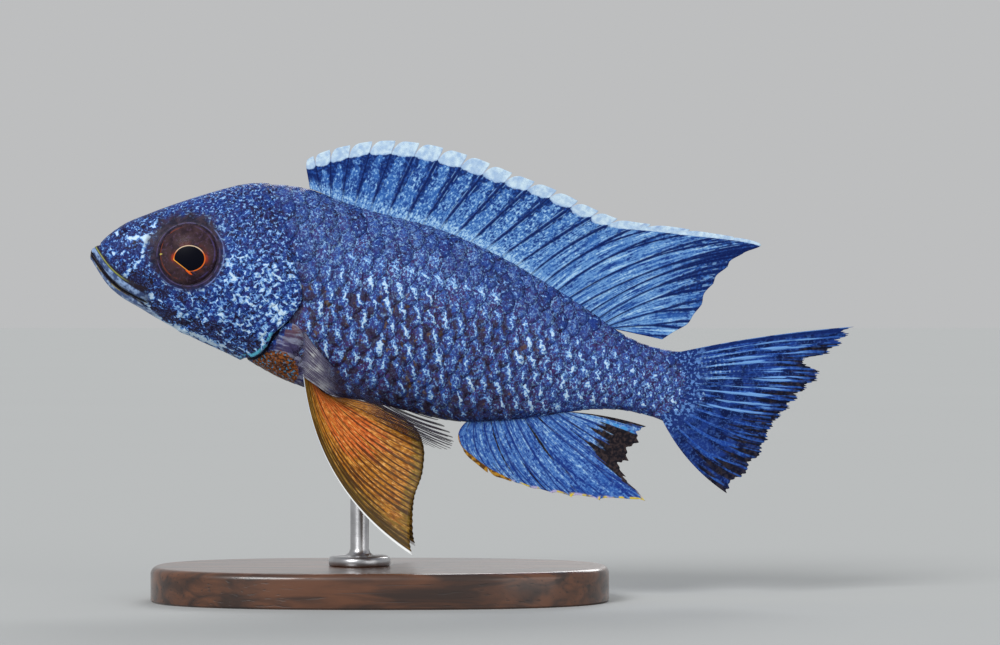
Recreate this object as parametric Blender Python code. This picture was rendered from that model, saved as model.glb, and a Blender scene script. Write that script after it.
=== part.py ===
"""A peacock cichlid, life size: a male swimming nose up, held by a plain display stand.

Fish millimetres are used throughout: u runs from the snout tip back along the body,
v runs up from that line, and w runs out to the side. The fish heads towards -X, so its
left side is at -Y. place() turns fish millimetres into the model's metres.
"""
import math

import bmesh
import bpy
import numpy as np
from mathutils import Matrix, Vector

MM = 0.001
GAP = 0.3                 # between pieces that touch
ROOT_GAP = 0.38           # from a fin's root to the body's true curve, whose facets lie up to 0.08 off it
NOSE_UP = math.radians(12.0)
SNOUT_X = -61.8           # so that the whole length is centred on X
SNOUT_HEIGHT = 56.0
TAIL_SWING = 4.5          # how far the tail tips swing to the fish's right
SWING_START, SWING_END = 55.0, 124.0
LEFT, RIGHT = -1, 1


def curve_through(*points):
    """A smooth function through (x, y) points: cubic pieces whose slopes join the neighbours."""
    x, y = np.array(points, float).T
    slope = np.gradient(y, x)

    def at(value):
        value = np.clip(np.asarray(value, float), x[0], x[-1])
        k = np.clip(np.searchsorted(x, value) - 1, 0, len(x) - 2)
        step = x[k + 1] - x[k]
        t = (value - x[k]) / step
        return (
            (1 + 2 * t) * (1 - t) ** 2 * y[k]
            + t * (1 - t) ** 2 * step * slope[k]
            + t * t * (3 - 2 * t) * y[k + 1]
            + t * t * (t - 1) * step * slope[k + 1]
        )

    return at


def smoothstep(low, high, value):
    """0 below low, 1 above high, and an S-shaped rise between."""
    t = np.clip((np.asarray(value, float) - low) / (high - low), 0, 1)
    return t * t * (3 - 2 * t)


# The body's outline and sections, each as a curve along u
BACK = curve_through(
    (0, 0.9), (0.9, 2.5), (2.2, 4.1), (3.8, 5.6), (6.4, 7.6), (12.3, 11.4), (18.2, 14.6),
    (22.8, 16.5), (27.5, 17.5), (32, 17.8), (38, 17.0), (46, 16.4), (54, 16.0), (60, 14.9),
    (66, 13.4), (72, 11.4), (78, 9.3), (83, 7.2), (87, 5.4), (91, 4.5), (95, 4.4), (100.6, 5.2),
)
BELLY = curve_through(
    (0, -0.8), (1.3, -2.4), (3.2, -4.0), (6, -5.4), (9.6, -6.9), (13.1, -8.1), (20.2, -10.1),
    (27.1, -11.5), (34.2, -13.6), (40, -14.4), (52, -14.3), (64, -14.3), (70.4, -12.9),
    (76.7, -10.9), (82, -8.8), (86, -7.6), (90, -7.0), (95, -7.2), (100.6, -7.9),
)
WIDEST_LEVEL = curve_through(
    (0, 0.1), (6, 1.0), (14, 1.6), (24, 1.2), (40, 0.6), (60, -0.2), (80, -0.9), (100.6, -1.3)
)
HALF_WIDTH = curve_through(
    (0, 1.5), (1.2, 2.5), (3, 3.5), (8, 5.0), (14, 6.1), (20, 6.9), (27, 7.5), (35, 7.8),
    (43, 7.6), (51, 7.1), (60, 6.2), (70, 4.9), (80, 3.5), (88, 2.5), (95, 1.6), (100.6, 1.0),
)
BACK_FULLNESS = curve_through((0, 2.2), (12, 2.1), (26, 1.9), (50, 1.75), (80, 1.85), (100.6, 2.0))
BELLY_FULLNESS = curve_through((0, 2.2), (14, 2.0), (30, 2.0), (50, 2.1), (80, 1.9), (100.6, 2.0))


def flank(u, v):
    """Distance of the body's side from its middle plane at height v: a superellipse above and below."""
    middle = WIDEST_LEVEL(u)
    up = v > middle
    reach = np.where(up, BACK(u) - middle, middle - BELLY(u))
    power = np.where(up, BACK_FULLNESS(u), BELLY_FULLNESS(u))
    share = np.clip(np.abs(v - middle) / reach, 0, 1)
    return HALF_WIDTH(u) * (1 - share**power) ** (1 / power)


def surface_height(u, w, above):
    """Height of the back, or of the belly, at distance w from the middle plane."""
    middle = WIDEST_LEVEL(u)
    reach, power = (
        (BACK(u) - middle, BACK_FULLNESS(u)) if above else (BELLY(u) - middle, BELLY_FULLNESS(u))
    )
    share = np.clip(np.abs(w) / HALF_WIDTH(u), 0, 1)
    return middle + reach * (1 - share**power) ** (1 / power)


def place(u, w, v):
    """Fish millimetres to metres in the model's frame, with the tail's sideways swing."""
    u, w, v = np.broadcast_arrays(*(np.asarray(a, float) for a in (u, w, v)))
    swing = TAIL_SWING * np.clip((u - SWING_START) / (SWING_END - SWING_START), 0, None) ** 2
    x = SNOUT_X + u * math.cos(NOSE_UP) + v * math.sin(NOSE_UP)
    z = SNOUT_HEIGHT - u * math.sin(NOSE_UP) + v * math.cos(NOSE_UP)
    return np.stack([x, w + swing, z], axis=-1) * MM


# Mesh helpers
def material(name, colour, roughness, metallic=0.0):
    made = bpy.data.materials.get(name)
    if made is None:
        made = bpy.data.materials.new(name)
        made.use_nodes = True
        shader = made.node_tree.nodes["Principled BSDF"]
        shader.inputs["Base Color"].default_value = (*colour, 1.0)
        shader.inputs["Roughness"].default_value = roughness
        shader.inputs["Metallic"].default_value = metallic
        made.diffuse_color = (*colour, 1.0)
    return made


def mesh_object(name, points, faces, finish=None):
    mesh = bpy.data.meshes.new(name)
    mesh.from_pydata([tuple(p) for p in points], [], [tuple(int(i) for i in f) for f in faces])
    obj = bpy.data.objects.new(name, mesh)
    bpy.context.scene.collection.objects.link(obj)
    outward(mesh)
    if finish:
        mesh.materials.append(finish)
    return obj


def outward(mesh):
    """Turns every face outwards."""
    work = bmesh.new()
    work.from_mesh(mesh)
    bmesh.ops.recalc_face_normals(work, faces=work.faces)
    if work.calc_volume(signed=True) < 0:
        bmesh.ops.reverse_faces(work, faces=work.faces)
    work.to_mesh(mesh)
    work.free()


def ring_faces(rings, count):
    """Quads between closed rings of count points."""
    for k in range(rings - 1):
        for j in range(count):
            a, b = k * count + j, k * count + (j + 1) % count
            yield a, b, b + count, a + count


def closed_tube(name, rings, finish=None):
    """A solid through closed rings of points, with a fan over each end."""
    count = len(rings[0])
    points = np.concatenate([*rings, [rings[0].mean(0)], [rings[-1].mean(0)]])
    faces = list(ring_faces(len(rings), count))
    first, last, start = len(points) - 2, len(points) - 1, (len(rings) - 1) * count
    for j in range(count):
        after = (j + 1) % count
        faces.append((first, after, j))
        faces.append((last, start + j, start + after))
    return mesh_object(name, points, faces, finish)


def prism(name, outline, low, high):
    """A flat outline in (u, v) carried sideways from w = low to w = high."""
    u, v = np.array(outline, float).T
    return closed_tube(name, [place(u, low, v), place(u, high, v)])


def thin_sheet(name, line, thickness=GAP, reach=15.0):
    """A cutter as thick as the gap, along a line in (u, v), right through the body."""
    line = np.array(line, float)
    along = np.gradient(line, axis=0)
    along /= np.linalg.norm(along, axis=1)[:, None]
    side = np.stack([-along[:, 1], along[:, 0]], axis=1) * thickness / 2
    rings = []
    for middle, off in zip(line, side):
        a, b = middle + off, middle - off
        corner_u = np.array([a[0], b[0], b[0], a[0]])
        corner_v = np.array([a[1], b[1], b[1], a[1]])
        rings.append(place(corner_u, np.array([-reach, -reach, reach, reach]), corner_v))
    return closed_tube(name, rings)


def boolean(obj, others, operation):
    """Applies one Boolean to obj and removes the other objects.

    The solver is MANIFOLD, because EXACT leaves flat scraps where the lips' tubes meet the jaw.
    """
    group = bpy.data.collections.new("joined")
    for other in others:
        group.objects.link(other)
    modifier = obj.modifiers.new("shape", "BOOLEAN")
    modifier.operation = operation
    modifier.operand_type = "COLLECTION"
    modifier.collection = group
    modifier.solver = "MANIFOLD"
    bpy.context.view_layer.update()
    shaped = obj.evaluated_get(bpy.context.evaluated_depsgraph_get())
    mesh = bpy.data.meshes.new_from_object(shaped)
    obj.modifiers.clear()
    old, obj.data = obj.data, mesh
    bpy.data.meshes.remove(old)
    for other in others:
        bpy.data.objects.remove(other)
    bpy.data.collections.remove(group)
    return obj


def closed_pieces(obj):
    """Each closed surface of obj as (volume, points, faces), largest first."""
    work = bmesh.new()
    work.from_mesh(obj.data)
    unseen, found = set(work.verts), []
    while unseen:
        seed = unseen.pop()
        island, edge = {seed}, [seed]
        while edge:
            for link in edge.pop().link_edges:
                for vert in link.verts:
                    if vert in unseen:
                        unseen.discard(vert)
                        island.add(vert)
                        edge.append(vert)
        order = {vert: k for k, vert in enumerate(sorted(island, key=lambda x: x.index))}
        points = np.array([vert.co for vert in order])
        faces = [[order[x] for x in f.verts] for f in work.faces if f.verts[0] in island]
        volume = sum(
            float(np.dot(points[f[0]], np.cross(points[f[i]], points[f[i + 1]]))) / 6
            for f in faces
            for i in range(1, len(f) - 1)
        )
        found.append((abs(volume), points, faces))
    work.free()
    return sorted(found, key=lambda piece: -piece[0])


def keep_largest(obj):
    _, points, faces = closed_pieces(obj)[0]
    mesh = bpy.data.meshes.new(obj.name)
    mesh.from_pydata([tuple(p) for p in points], [], faces)
    for finish in obj.data.materials:
        mesh.materials.append(finish)
    old, obj.data = obj.data, mesh
    bpy.data.meshes.remove(old)
    outward(mesh)
    return obj


def smooth(obj, sharp_deg=50):
    obj.data.shade_smooth()
    obj.data.set_sharp_from_angle(angle=math.radians(sharp_deg))


# The body, whole
AROUND = 24
HEAD_RINGS, TRUNK_RINGS, STALK_RINGS = 30, 21, 7
HEAD_END, STALK_START, BODY_END = 33.0, 88.0, 100.6
NOSE_RING_AHEAD, NOSE_RING_SHARE = 0.1, 0.55   # a smaller ring that rounds off the nose
NARROWEST = 0.05
PLATE_RISE_START, PLATE_RISE_END = 21.0, 32.0


def body_rings(inset=0.0, swell=0.0):
    """Sections along the body, drawn in by inset, or swollen towards the gill covers' rear edge."""
    stations = np.concatenate([
        HEAD_END * np.linspace(0, 1, HEAD_RINGS) ** 1.25,
        np.linspace(HEAD_END, STALK_START, TRUNK_RINGS)[1:],
        np.linspace(STALK_START, BODY_END, STALK_RINGS)[1:],
    ])
    turn = np.linspace(0, 2 * math.pi, AROUND, endpoint=False)
    up = np.cos(turn) > 0
    rings = []
    for u in stations:
        middle = WIDEST_LEVEL(u)
        reach = np.where(up, BACK(u) - middle, middle - BELLY(u)) - inset
        power = np.where(up, BACK_FULLNESS(u), BELLY_FULLNESS(u))
        wide = max(HALF_WIDTH(u) - inset, NARROWEST) + swell * smoothstep(PLATE_RISE_START, PLATE_RISE_END, u)
        w = wide * np.sign(np.sin(turn)) * np.abs(np.sin(turn)) ** (2 / power)
        tall = np.maximum(reach, NARROWEST) * np.sign(np.cos(turn)) * np.abs(np.cos(turn)) ** (2 / power)
        rings.append((u, w, middle + tall))
    _, first_w, first_v = rings[0]
    centre = WIDEST_LEVEL(0)
    ahead = -NOSE_RING_AHEAD * max(NARROWEST, 1 - inset)
    nose = (ahead, NOSE_RING_SHARE * first_w, centre + NOSE_RING_SHARE * (first_v - centre))
    return [place(*ring) for ring in [nose] + rings]


def body_solid(name, inset=0.0, swell=0.0):
    return closed_tube(name, body_rings(inset, swell))


# The mouth: its line, the lips on each side of it and the lower jaw
MOUTH_LINE = [
    (0, 0.1), (1.1, -0.85), (2.2, -1.85), (3.0, -2.55), (4.0, -3.3), (6, -4.4), (8.5, -5.2), (11, -5.8),
]
MOUTH = curve_through(*MOUTH_LINE)
MOUTH_AHEAD = [(-2.0, 1.4)]           # the cut's start, clear of the lips
MOUTH_END = 10.8
JAW_HINGE = [(12.4, -6.1), (13.6, -7.3), (14.3, -9.2), (14.5, -11.5)]
LIP_SIDES, LIP_STEPS = 7, 11
LIP_START, LIP_FRONT = 0.8, 0.6       # u of a lip's first points at its side and at the very front
UPPER_LIP, LOWER_LIP = (0.75, 0.72), (-0.55, 0.5)    # rise above the mouth's line, radius


def lip(name, rise, radius):
    """A lip: a tube round the snout, rise above the mouth's line, tapering to the mouth's corners."""
    u = LIP_START + (MOUTH_END - LIP_START) * np.linspace(0, 1, LIP_STEPS) ** 1.5
    v = MOUTH(u) + rise
    w = flank(u, v) - 0.35 * radius
    left = np.stack([u, -w, v], axis=1)[::-1]
    front = np.array([[LIP_FRONT, 0, MOUTH(0) + rise]])
    right = np.stack([u, w, v], axis=1)
    path = place(*np.concatenate([left, front, right]).T)
    taper = 1 - 0.75 * np.abs(np.linspace(-1, 1, len(path))) ** 3
    along = np.gradient(path, axis=0)
    along /= np.linalg.norm(along, axis=1)[:, None]
    up = np.array([0, 0, 1.0])
    out = np.cross(along, up)
    out /= np.linalg.norm(out, axis=1)[:, None]
    over = np.cross(out, along)
    turn = np.linspace(0, 2 * math.pi, LIP_SIDES, endpoint=False)
    rings = [
        p + radius * MM * t * (np.cos(turn)[:, None] * o + np.sin(turn)[:, None] * a)
        for p, t, o, a in zip(path, taper, out, over)
    ]
    return closed_tube(name, rings)


# The gill covers: plates over the sides of the head, free at the rear edge. The body is parted from the head
# behind them, along the nape line, their edge and the throat line.
GILL_EDGE = [
    (27.2, 11.3), (29.6, 9.4), (32.4, 6.0), (34.5, 2.6), (35.2, -0.6), (33.6, -3.8),
    (31.8, -6.4), (31.0, -8.8), (29.4, -10.6), (27.2, -11.2),
]
CHEEK_EDGE = [(18.6, -8.2), (21.2, -5.0), (22.3, -0.5), (22.4, 4.5), (23.3, 8.4), (25.2, 10.7)]
NAPE_LINE = [(24.0, 21.0), (25.4, 15.0)]
THROAT_LINE = [(26.6, -12.0), (26.4, -15.0)]
PLATE_DEPTH, PLATE_SWELL, PLATE_INNER = 1.4, 0.45, 1.2
OUTSIDE = 16.0            # further out than any of the body

# The tail stalk: where it meets the trunk, and its rounded end, as u for each height v
STALK_LINE = [(88.6, 9.0), (89.2, 3.0), (89.3, -1.2), (89.0, -6.0), (88.4, -10.0)]
TAIL_LINE = [(-9.5, 94.6), (-7.0, 96.0), (-4.5, 97.6), (-1.2, 98.4), (2.2, 98.0), (4.6, 96.6), (7.0, 94.8)]
TAIL_ROOT = curve_through(*TAIL_LINE)


def drawn_in(outline, by):
    """A closed outline with each corner moved inwards along its own bisector."""
    points = np.array(outline, float)
    normal = np.zeros_like(points)
    for edge in (points - np.roll(points, 1, 0), np.roll(points, -1, 0) - points):
        normal += np.stack([edge[:, 1], -edge[:, 0]], axis=1) / np.linalg.norm(edge, axis=1)[:, None]
    normal /= np.linalg.norm(normal, axis=1)[:, None]
    turning = np.sum(points[:, 0] * np.roll(points[:, 1], -1) - points[:, 1] * np.roll(points[:, 0], -1))
    return points + normal * by * (-1 if turning > 0 else 1)


def side_layer(name, side, outline, inner, depth):
    """All that lies outside the body's core, within an outline seen from the side."""
    layer = prism(name, outline, side * inner, side * OUTSIDE)
    return boolean(layer, [body_solid("core", inset=depth)], "DIFFERENCE")


def gill_plate(name, side, outline, finish):
    """A gill cover: the body's outer layer within its outline, a little proud at the rear edge."""
    plate = side_layer(name, side, outline, PLATE_INNER, PLATE_DEPTH)
    boolean(plate, [body_solid("skin", swell=PLATE_SWELL)], "INTERSECT")
    plate.data.materials.append(finish)
    return keep_largest(plate)


# Eyes, nostrils and their sockets
EYE_U, EYE_V = 15.98, 3.2
EYE_RADIUS, EYE_DEPTH = 5.0, 2.6
EYE_SUNK = 1.1            # how far the eye's centre lies under the skin
EYE_FORWARD, EYE_UP = math.radians(9), math.radians(7)
NOSTRIL_U, NOSTRIL_V, NOSTRIL_RADIUS = 4.8, 4.9, 0.45
NOSTRIL_FROM, NOSTRIL_TO = -0.7, 1.5     # the drill's ends, from the skin outwards
NOSTRIL_SIDES = 8


def eyeball(name, side, extra=0.0):
    """A flattened ball whose short axis points out, a little forward and up."""
    work = bmesh.new()
    bmesh.ops.create_uvsphere(work, u_segments=18, v_segments=10, radius=1.0)
    mesh = bpy.data.meshes.new(name)
    work.to_mesh(mesh)
    work.free()
    obj = bpy.data.objects.new(name, mesh)
    bpy.context.scene.collection.objects.link(obj)
    size = [(EYE_RADIUS + extra) * MM, (EYE_RADIUS + extra) * MM, (EYE_DEPTH + extra) * MM]
    out = Vector((-math.sin(EYE_FORWARD), side * math.cos(EYE_FORWARD) * math.cos(EYE_UP), math.sin(EYE_UP)))
    turn = out.to_track_quat("Z", "Y").to_matrix().to_4x4()
    w = side * (flank(EYE_U, EYE_V) - EYE_SUNK)
    at = Matrix.Translation(Vector(place(EYE_U, w, EYE_V)))
    mesh.transform(at @ turn @ Matrix.Diagonal((*size, 1)))
    return obj


def nostril_drill(name, side):
    """A short round cutter set square to the snout."""
    w = flank(NOSTRIL_U, NOSTRIL_V)
    centre = Vector(place(NOSTRIL_U, side * w, NOSTRIL_V))
    out = Vector((-0.25, side * 0.75, 0.65)).normalized()
    across = out.orthogonal().normalized()
    other = out.cross(across)
    turn = np.linspace(0, 2 * math.pi, NOSTRIL_SIDES, endpoint=False)
    circle = np.array([across * math.cos(a) + other * math.sin(a) for a in turn]) * NOSTRIL_RADIUS * MM
    return closed_tube(name, [circle + np.array(centre + out * d * MM) for d in (NOSTRIL_FROM, NOSTRIL_TO)])


# Fins: a membrane stiffened by rays, raised as ridges on both faces
RAY_FOOT = 0.2            # from a ray's crest to its foot, as a share of the way to the next ray
LAPPET_MIDDLE = 0.5       # a lappet's middle column, as a share of the way to the next ray
LAPPET_LEAN = 0.45        # a lappet leans back by this share of its height


def fin_solid(name, rays, root, tip, bow, half_thickness, ridge, finish,
              rows=8, sheet=None, root_level=None, lappet=None, free_edge=0.0):
    """A fin as one closed shell.

    root(i) and tip(i) give the two ends of ray i as (u, v), and bow(i) how far its middle bends
    off the straight line. sheet(u, v, i, r) gives the middle surface's w. half_thickness(r) runs
    from the root at r = 0 to the margin at r = 1, where the ridges die out.
    """
    columns = []
    for i in range(rays):
        if i:
            columns.append((i - RAY_FOOT, 0.0))
        columns.append((float(i), 1.0))
        if i < rays - 1:
            columns.append((i + RAY_FOOT, 0.0))
            if lappet:
                columns.append((i + LAPPET_MIDDLE, 0.0))
    index = np.array([c[0] for c in columns])[:, None]
    crest = np.array([c[1] for c in columns])[:, None]
    r = np.linspace(0, 1, rows)[None, :]
    root_u, root_v = (np.asarray(a)[..., None] for a in root(index[:, 0]))
    tip_u, tip_v = (np.asarray(a)[..., None] for a in tip(index[:, 0]))
    reach = lappet(index) if lappet else 1 - free_edge * (1 - crest)
    reach_r = r * (1 + (reach - 1) * r)
    across_u, across_v = -(tip_v - root_v), tip_u - root_u
    length = np.hypot(across_u, across_v)
    bend = bow(index) * 4 * reach_r * (1 - np.minimum(reach_r, 1)) / length
    lean = LAPPET_LEAN * length * np.maximum(reach_r - 1, 0)
    u = root_u + (tip_u - root_u) * reach_r + across_u * bend + lean
    v = root_v + (tip_v - root_v) * reach_r + across_v * bend
    half = half_thickness(r) + ridge * crest * (1 - 0.6 * r) * np.minimum(1, 6 * (1 - r)) * np.ones_like(u)
    middle = sheet(u, v, index, r) if sheet else np.zeros_like(u)
    faces_at = []
    for sign in (-1, 1):
        w = middle + sign * half
        uu, vv = u.copy(), v.copy()
        if root_level:
            uu[:, 0], vv[:, 0] = root_level(u[:, 0], w[:, 0], v[:, 0])
        faces_at.append(place(uu, w, vv))
    if root_level:
        keel_u, keel_v = root_level(u[:, 0], middle[:, 0], v[:, 0])
    else:
        keel_u, keel_v = 1.2 * u[:, 0] - 0.2 * u[:, 1], 1.2 * v[:, 0] - 0.2 * v[:, 1]
    return shell_object(name, *faces_at, place(keel_u, middle[:, 0], keel_v), finish)


def shell_object(name, near, far, keel, finish):
    """Closes two like grids of points, with the keel line under their roots, by like triangles on both."""
    columns, rows = near.shape[:2]
    size = columns * rows
    points = np.concatenate([near.reshape(-1, 3), far.reshape(-1, 3), keel])
    faces = []

    def at(column, row):
        return column * rows + row

    for c in range(columns - 1):
        for r in range(rows - 1):
            a, b, d, e = at(c, r), at(c + 1, r), at(c + 1, r + 1), at(c, r + 1)
            for tri in ((a, b, d), (a, d, e)):
                faces.append(tri)
                faces.append(tuple(i + size for i in reversed(tri)))
    for c in range(columns - 1):
        a, b, m, n = at(c, 0), at(c + 1, 0), 2 * size + c, 2 * size + c + 1
        faces += [(b, a, m), (b, m, n), (n, m, a + size), (n, a + size, b + size)]
    for c in (0, columns - 1):
        a, b, m = at(c, 0), at(c, 1), 2 * size + c
        faces += [(a, b, m), (b, b + size, m), (b + size, a + size, m)]
    edge = [at(columns - 1, r) for r in range(1, rows)]
    edge += [at(c, rows - 1) for c in range(columns - 2, -1, -1)] + [at(0, r) for r in range(rows - 2, 0, -1)]
    for a, b in zip(edge, edge[1:]):
        faces.append((b, a, a + size))
        faces.append((b, a + size, b + size))
    return mesh_object(name, points, faces, finish)


def by_ray(*rows):
    """Two smooth functions of the ray number, for u and for v, through (ray, u, v) rows."""
    along = curve_through(*((i, u) for i, u, _ in rows))
    up = curve_through(*((i, v) for i, _, v in rows))
    return lambda i: (along(i), up(i))


def taper(root, margin, sharpness=0.6):
    """Half a fin's thickness: root at the body, falling to margin at the edge."""
    return lambda r: margin + (root - margin) * (1 - np.asarray(r, float) ** sharpness)


# Dorsal fin: 16 spines with a lappet behind each, then 10 soft rays drawn out to a point
DORSAL_RAYS = 26
DORSAL_ROOT_U = curve_through(
    (0, 32.4), (4, 40.1), (8, 51.7), (12, 62.6), (15, 70.6), (18, 77.6), (21, 82.9), (25, 86.4)
)
DORSAL_TIP = by_ray(
    (0, 30.8, 21.9), (1, 32.6, 21.9), (2, 34.8, 22.7), (4, 40.7, 25.4), (6, 47.9, 26.5), (8, 55.6, 26.3),
    (10, 63.1, 25.3), (12, 70.7, 24.4), (14, 78.0, 22.8), (15, 81.4, 22.4), (17, 93.8, 23.7),
    (19, 105.9, 24.0), (20, 103.2, 22.0), (22, 99.4, 16.2), (24, 96.6, 8.9), (25, 93.2, 5.7),
)
LAPPET = curve_through(
    (0, 0.12), (1, 0.26), (4, 0.26), (9, 0.19), (12, 0.11), (15, 0.09), (17, 0.03), (19, 0), (25, 0)
)


def dorsal_root(i):
    u = DORSAL_ROOT_U(i)
    return u, BACK(u) + ROOT_GAP


def on_back(u, w, v):
    return u, surface_height(u, w, True) + ROOT_GAP


def dorsal_reach(i):
    """How far each column runs: to the notch at a spine, and up to the lappet's flat top behind it."""
    part = i % 1
    return 1 + LAPPET(i) * np.where(part > 0.4, 1.0, np.where(part > 0.1, 0.8, 0.0))


def dorsal_bow(i):
    return 1.6 * smoothstep(13, 18, i) - 1.6 * smoothstep(19, 25, i)


# Anal fin: 3 spines and 9 soft rays
ANAL_RAYS = 12
ANAL_WEAR = 0.04
ANAL_ROOT_U = curve_through((0, 64.8), (3, 69.6), (8, 78.2), (11, 82.6))
ANAL_TIP = by_ray(
    (0, 65.4, -18.2), (1, 68.6, -19.2), (2, 73.4, -21.5), (4, 81.1, -22.4), (6, 88.9, -21.9),
    (7, 96.1, -20.5), (8, 92.0, -17.2), (9, 91.9, -14.6), (10, 92.9, -11.4), (11, 93.5, -8.6),
)
ANAL_LAPPET = curve_through((0, 0.26), (1, 0.16), (2, 0.05), (3, 0), (11, 0))


def anal_root(i):
    u = ANAL_ROOT_U(i)
    return u, BELLY(u) - ROOT_GAP


def on_belly(u, w, v):
    return u, surface_height(u, w, False) - ROOT_GAP


def anal_reach(i):
    """A small lappet behind each of the first two spines. Behind the rest the skin is worn back."""
    part = i % 1
    return 1 + np.where(part > 0.1, ANAL_LAPPET(i) - ANAL_WEAR, 0.0)


def anal_bow(i):
    return -0.9 + 1.2 * smoothstep(4, 11, i)


# Tail fin: 16 main rays, spread wide, with a cleft behind the upper lobe
CAUDAL_RAYS = 16
CAUDAL_ROOT_V = curve_through((0, 4.5), (8, -1.2), (15, -7.2))
CAUDAL_TIP = by_ray(
    (0, 123.8, 14.3), (2, 122.6, 11.2), (3, 120.8, 9.2), (4, 117.0, 7.2), (5, 119.9, 6.0), (7, 118.2, 2.6),
    (9, 116.2, -0.9), (11, 114.2, -4.4), (13, 113.1, -9.4), (14, 111.4, -12.8), (15, 108.9, -16.6),
)


def caudal_root(i):
    v = CAUDAL_ROOT_V(i)
    return TAIL_ROOT(v) + GAP / 2, v


def on_tail_stalk(u, w, v):
    return TAIL_ROOT(v) + GAP / 2 + 0.15 * np.abs(w), v


def caudal_bow(i):
    return 0.5 - 1.55 * smoothstep(3, 15, i)


# Pelvic fins: a spine and soft rays under the chest, spread down and out to a point
PELVIC_RAYS = 9
PELVIC_ROOT_U = curve_through((0, 38.2), (8, 43.2))
PELVIC_ROOT_W = curve_through((0, 3.2), (8, 1.5))
PELVIC_TIP = by_ray(
    (0, 61.1, -36.1), (1, 60.3, -34.1), (2, 59.6, -31.0), (3, 59.3, -28.3), (5, 59.7, -22.9),
    (6, 59.0, -19.4), (7, 56.5, -16.5), (8, 50.6, -15.0),
)
PELVIC_SPREAD = math.tan(math.radians(15))


def pelvic_root(i):
    u = PELVIC_ROOT_U(i)
    return u, surface_height(u, PELVIC_ROOT_W(i), False) - ROOT_GAP


def pelvic_sheet(side):
    """The fin leans outwards with distance from its root, more steeply towards the tip."""
    def sheet(u, v, i, r):
        start_u = PELVIC_ROOT_U(i)
        start_v = surface_height(start_u, PELVIC_ROOT_W(i), False)
        away = np.hypot(u - start_u, v - start_v)
        return side * (PELVIC_ROOT_W(i) + PELVIC_SPREAD * away * (0.55 + 0.45 * r))
    return sheet


def pelvic_bow(i):
    return -3.7 + 3.2 * smoothstep(0, 7, i)


# Pectoral fins: laid back and down along the flank behind the gill cover
PECTORAL_RAYS = 7
PECTORAL_ROOT = by_ray((0, 36.4, -4.6), (3, 37.0, -8.4), (6, 37.4, -11.9))
PECTORAL_TIP = by_ray(
    (0, 60.4, -14.8), (1, 62.9, -16.6), (2, 63.7, -18.0), (4, 60.2, -18.7), (5, 56.9, -18.1),
    (6, 52.2, -16.9),
)
PECTORAL_SPREAD = math.tan(math.radians(7))
PECTORAL_OFF = 0.75       # from the flank to the root's middle


def pectoral_sheet(side):
    """The fin lifts off the flank by a few degrees from its root back."""
    def sheet(u, v, i, r):
        start_u, start_v = PECTORAL_ROOT(i)
        away = np.hypot(u - start_u, v - start_v)
        return side * (flank(start_u, start_v) + PECTORAL_OFF + PECTORAL_SPREAD * away)
    return sheet


def pectoral_bow(i):
    return -2.6 + 2.2 * smoothstep(0, 5, i)


# Display stand: an oval base, and one rod with a turned foot under the belly
BASE_LENGTH, BASE_WIDTH, BASE_HEIGHT = 74.0, 42.0, 5.6
BASE_X = -15.0
BASE_SIDES, BASE_ROUNDNESS = 40, 0.8
BASE_BEVEL, BASE_CHAMFER = 1.1, 0.3
ROD_U, ROD_RADIUS = 47.5, 1.5
ROD_SIDES = 20
FOOT_RADIUS, FOOT_HEIGHT = 5.0, 1.6


def base_ring(cut, height):
    """The base's outline, a superellipse drawn in by cut."""
    turn = np.linspace(0, 2 * math.pi, BASE_SIDES, endpoint=False)
    along, across = (np.sign(f) * np.abs(f) ** BASE_ROUNDNESS for f in (np.cos(turn), np.sin(turn)))
    x = BASE_X + (BASE_LENGTH / 2 - cut) * along
    y = (BASE_WIDTH / 2 - cut) * across
    return np.stack([x, y, np.full(BASE_SIDES, height)], axis=1) * MM


def stand_base(finish):
    """The base: a small chamfer below, and a bevel of two steps above."""
    third = BASE_BEVEL / 3
    profile = [
        (BASE_CHAMFER, 0.0), (0.0, BASE_CHAMFER), (0.0, BASE_HEIGHT - BASE_BEVEL),
        (third, BASE_HEIGHT - third), (BASE_BEVEL, BASE_HEIGHT),
    ]
    return closed_tube("stand_base", [base_ring(cut, z) for cut, z in profile], finish)


def stand_rod(finish):
    """A turned rod whose top is cut to the belly's slope."""
    centre = place(ROD_U, 0, BELLY(ROD_U)) / MM
    low = BASE_HEIGHT + GAP
    turn = np.linspace(0, 2 * math.pi, ROD_SIDES, endpoint=False)
    profile = [
        (FOOT_RADIUS - 0.3, low), (FOOT_RADIUS, low + 0.3), (FOOT_RADIUS, low + FOOT_HEIGHT - 0.6),
        (FOOT_RADIUS - 0.7, low + FOOT_HEIGHT), (ROD_RADIUS + 0.7, low + FOOT_HEIGHT + 0.2),
        (ROD_RADIUS, low + FOOT_HEIGHT + 1.0),
    ]
    radius, height = (column[:, None] for column in np.array(profile).T)
    x, y = centre[0] + radius * np.cos(turn), radius * np.sin(turn)
    rings = list(np.stack([x, y, height * np.ones(ROD_SIDES)], axis=-1) * MM)
    along = (rings[-1][:, 0] / MM - SNOUT_X - BELLY(ROD_U) * math.sin(NOSE_UP)) / math.cos(NOSE_UP)
    under = surface_height(along, rings[-1][:, 1] / MM, False) - ROOT_GAP
    top = rings[-1].copy()
    top[:, 2] = place(along, 0, under)[:, 2]
    return closed_tube("stand_rod", rings + [top], finish)


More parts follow.
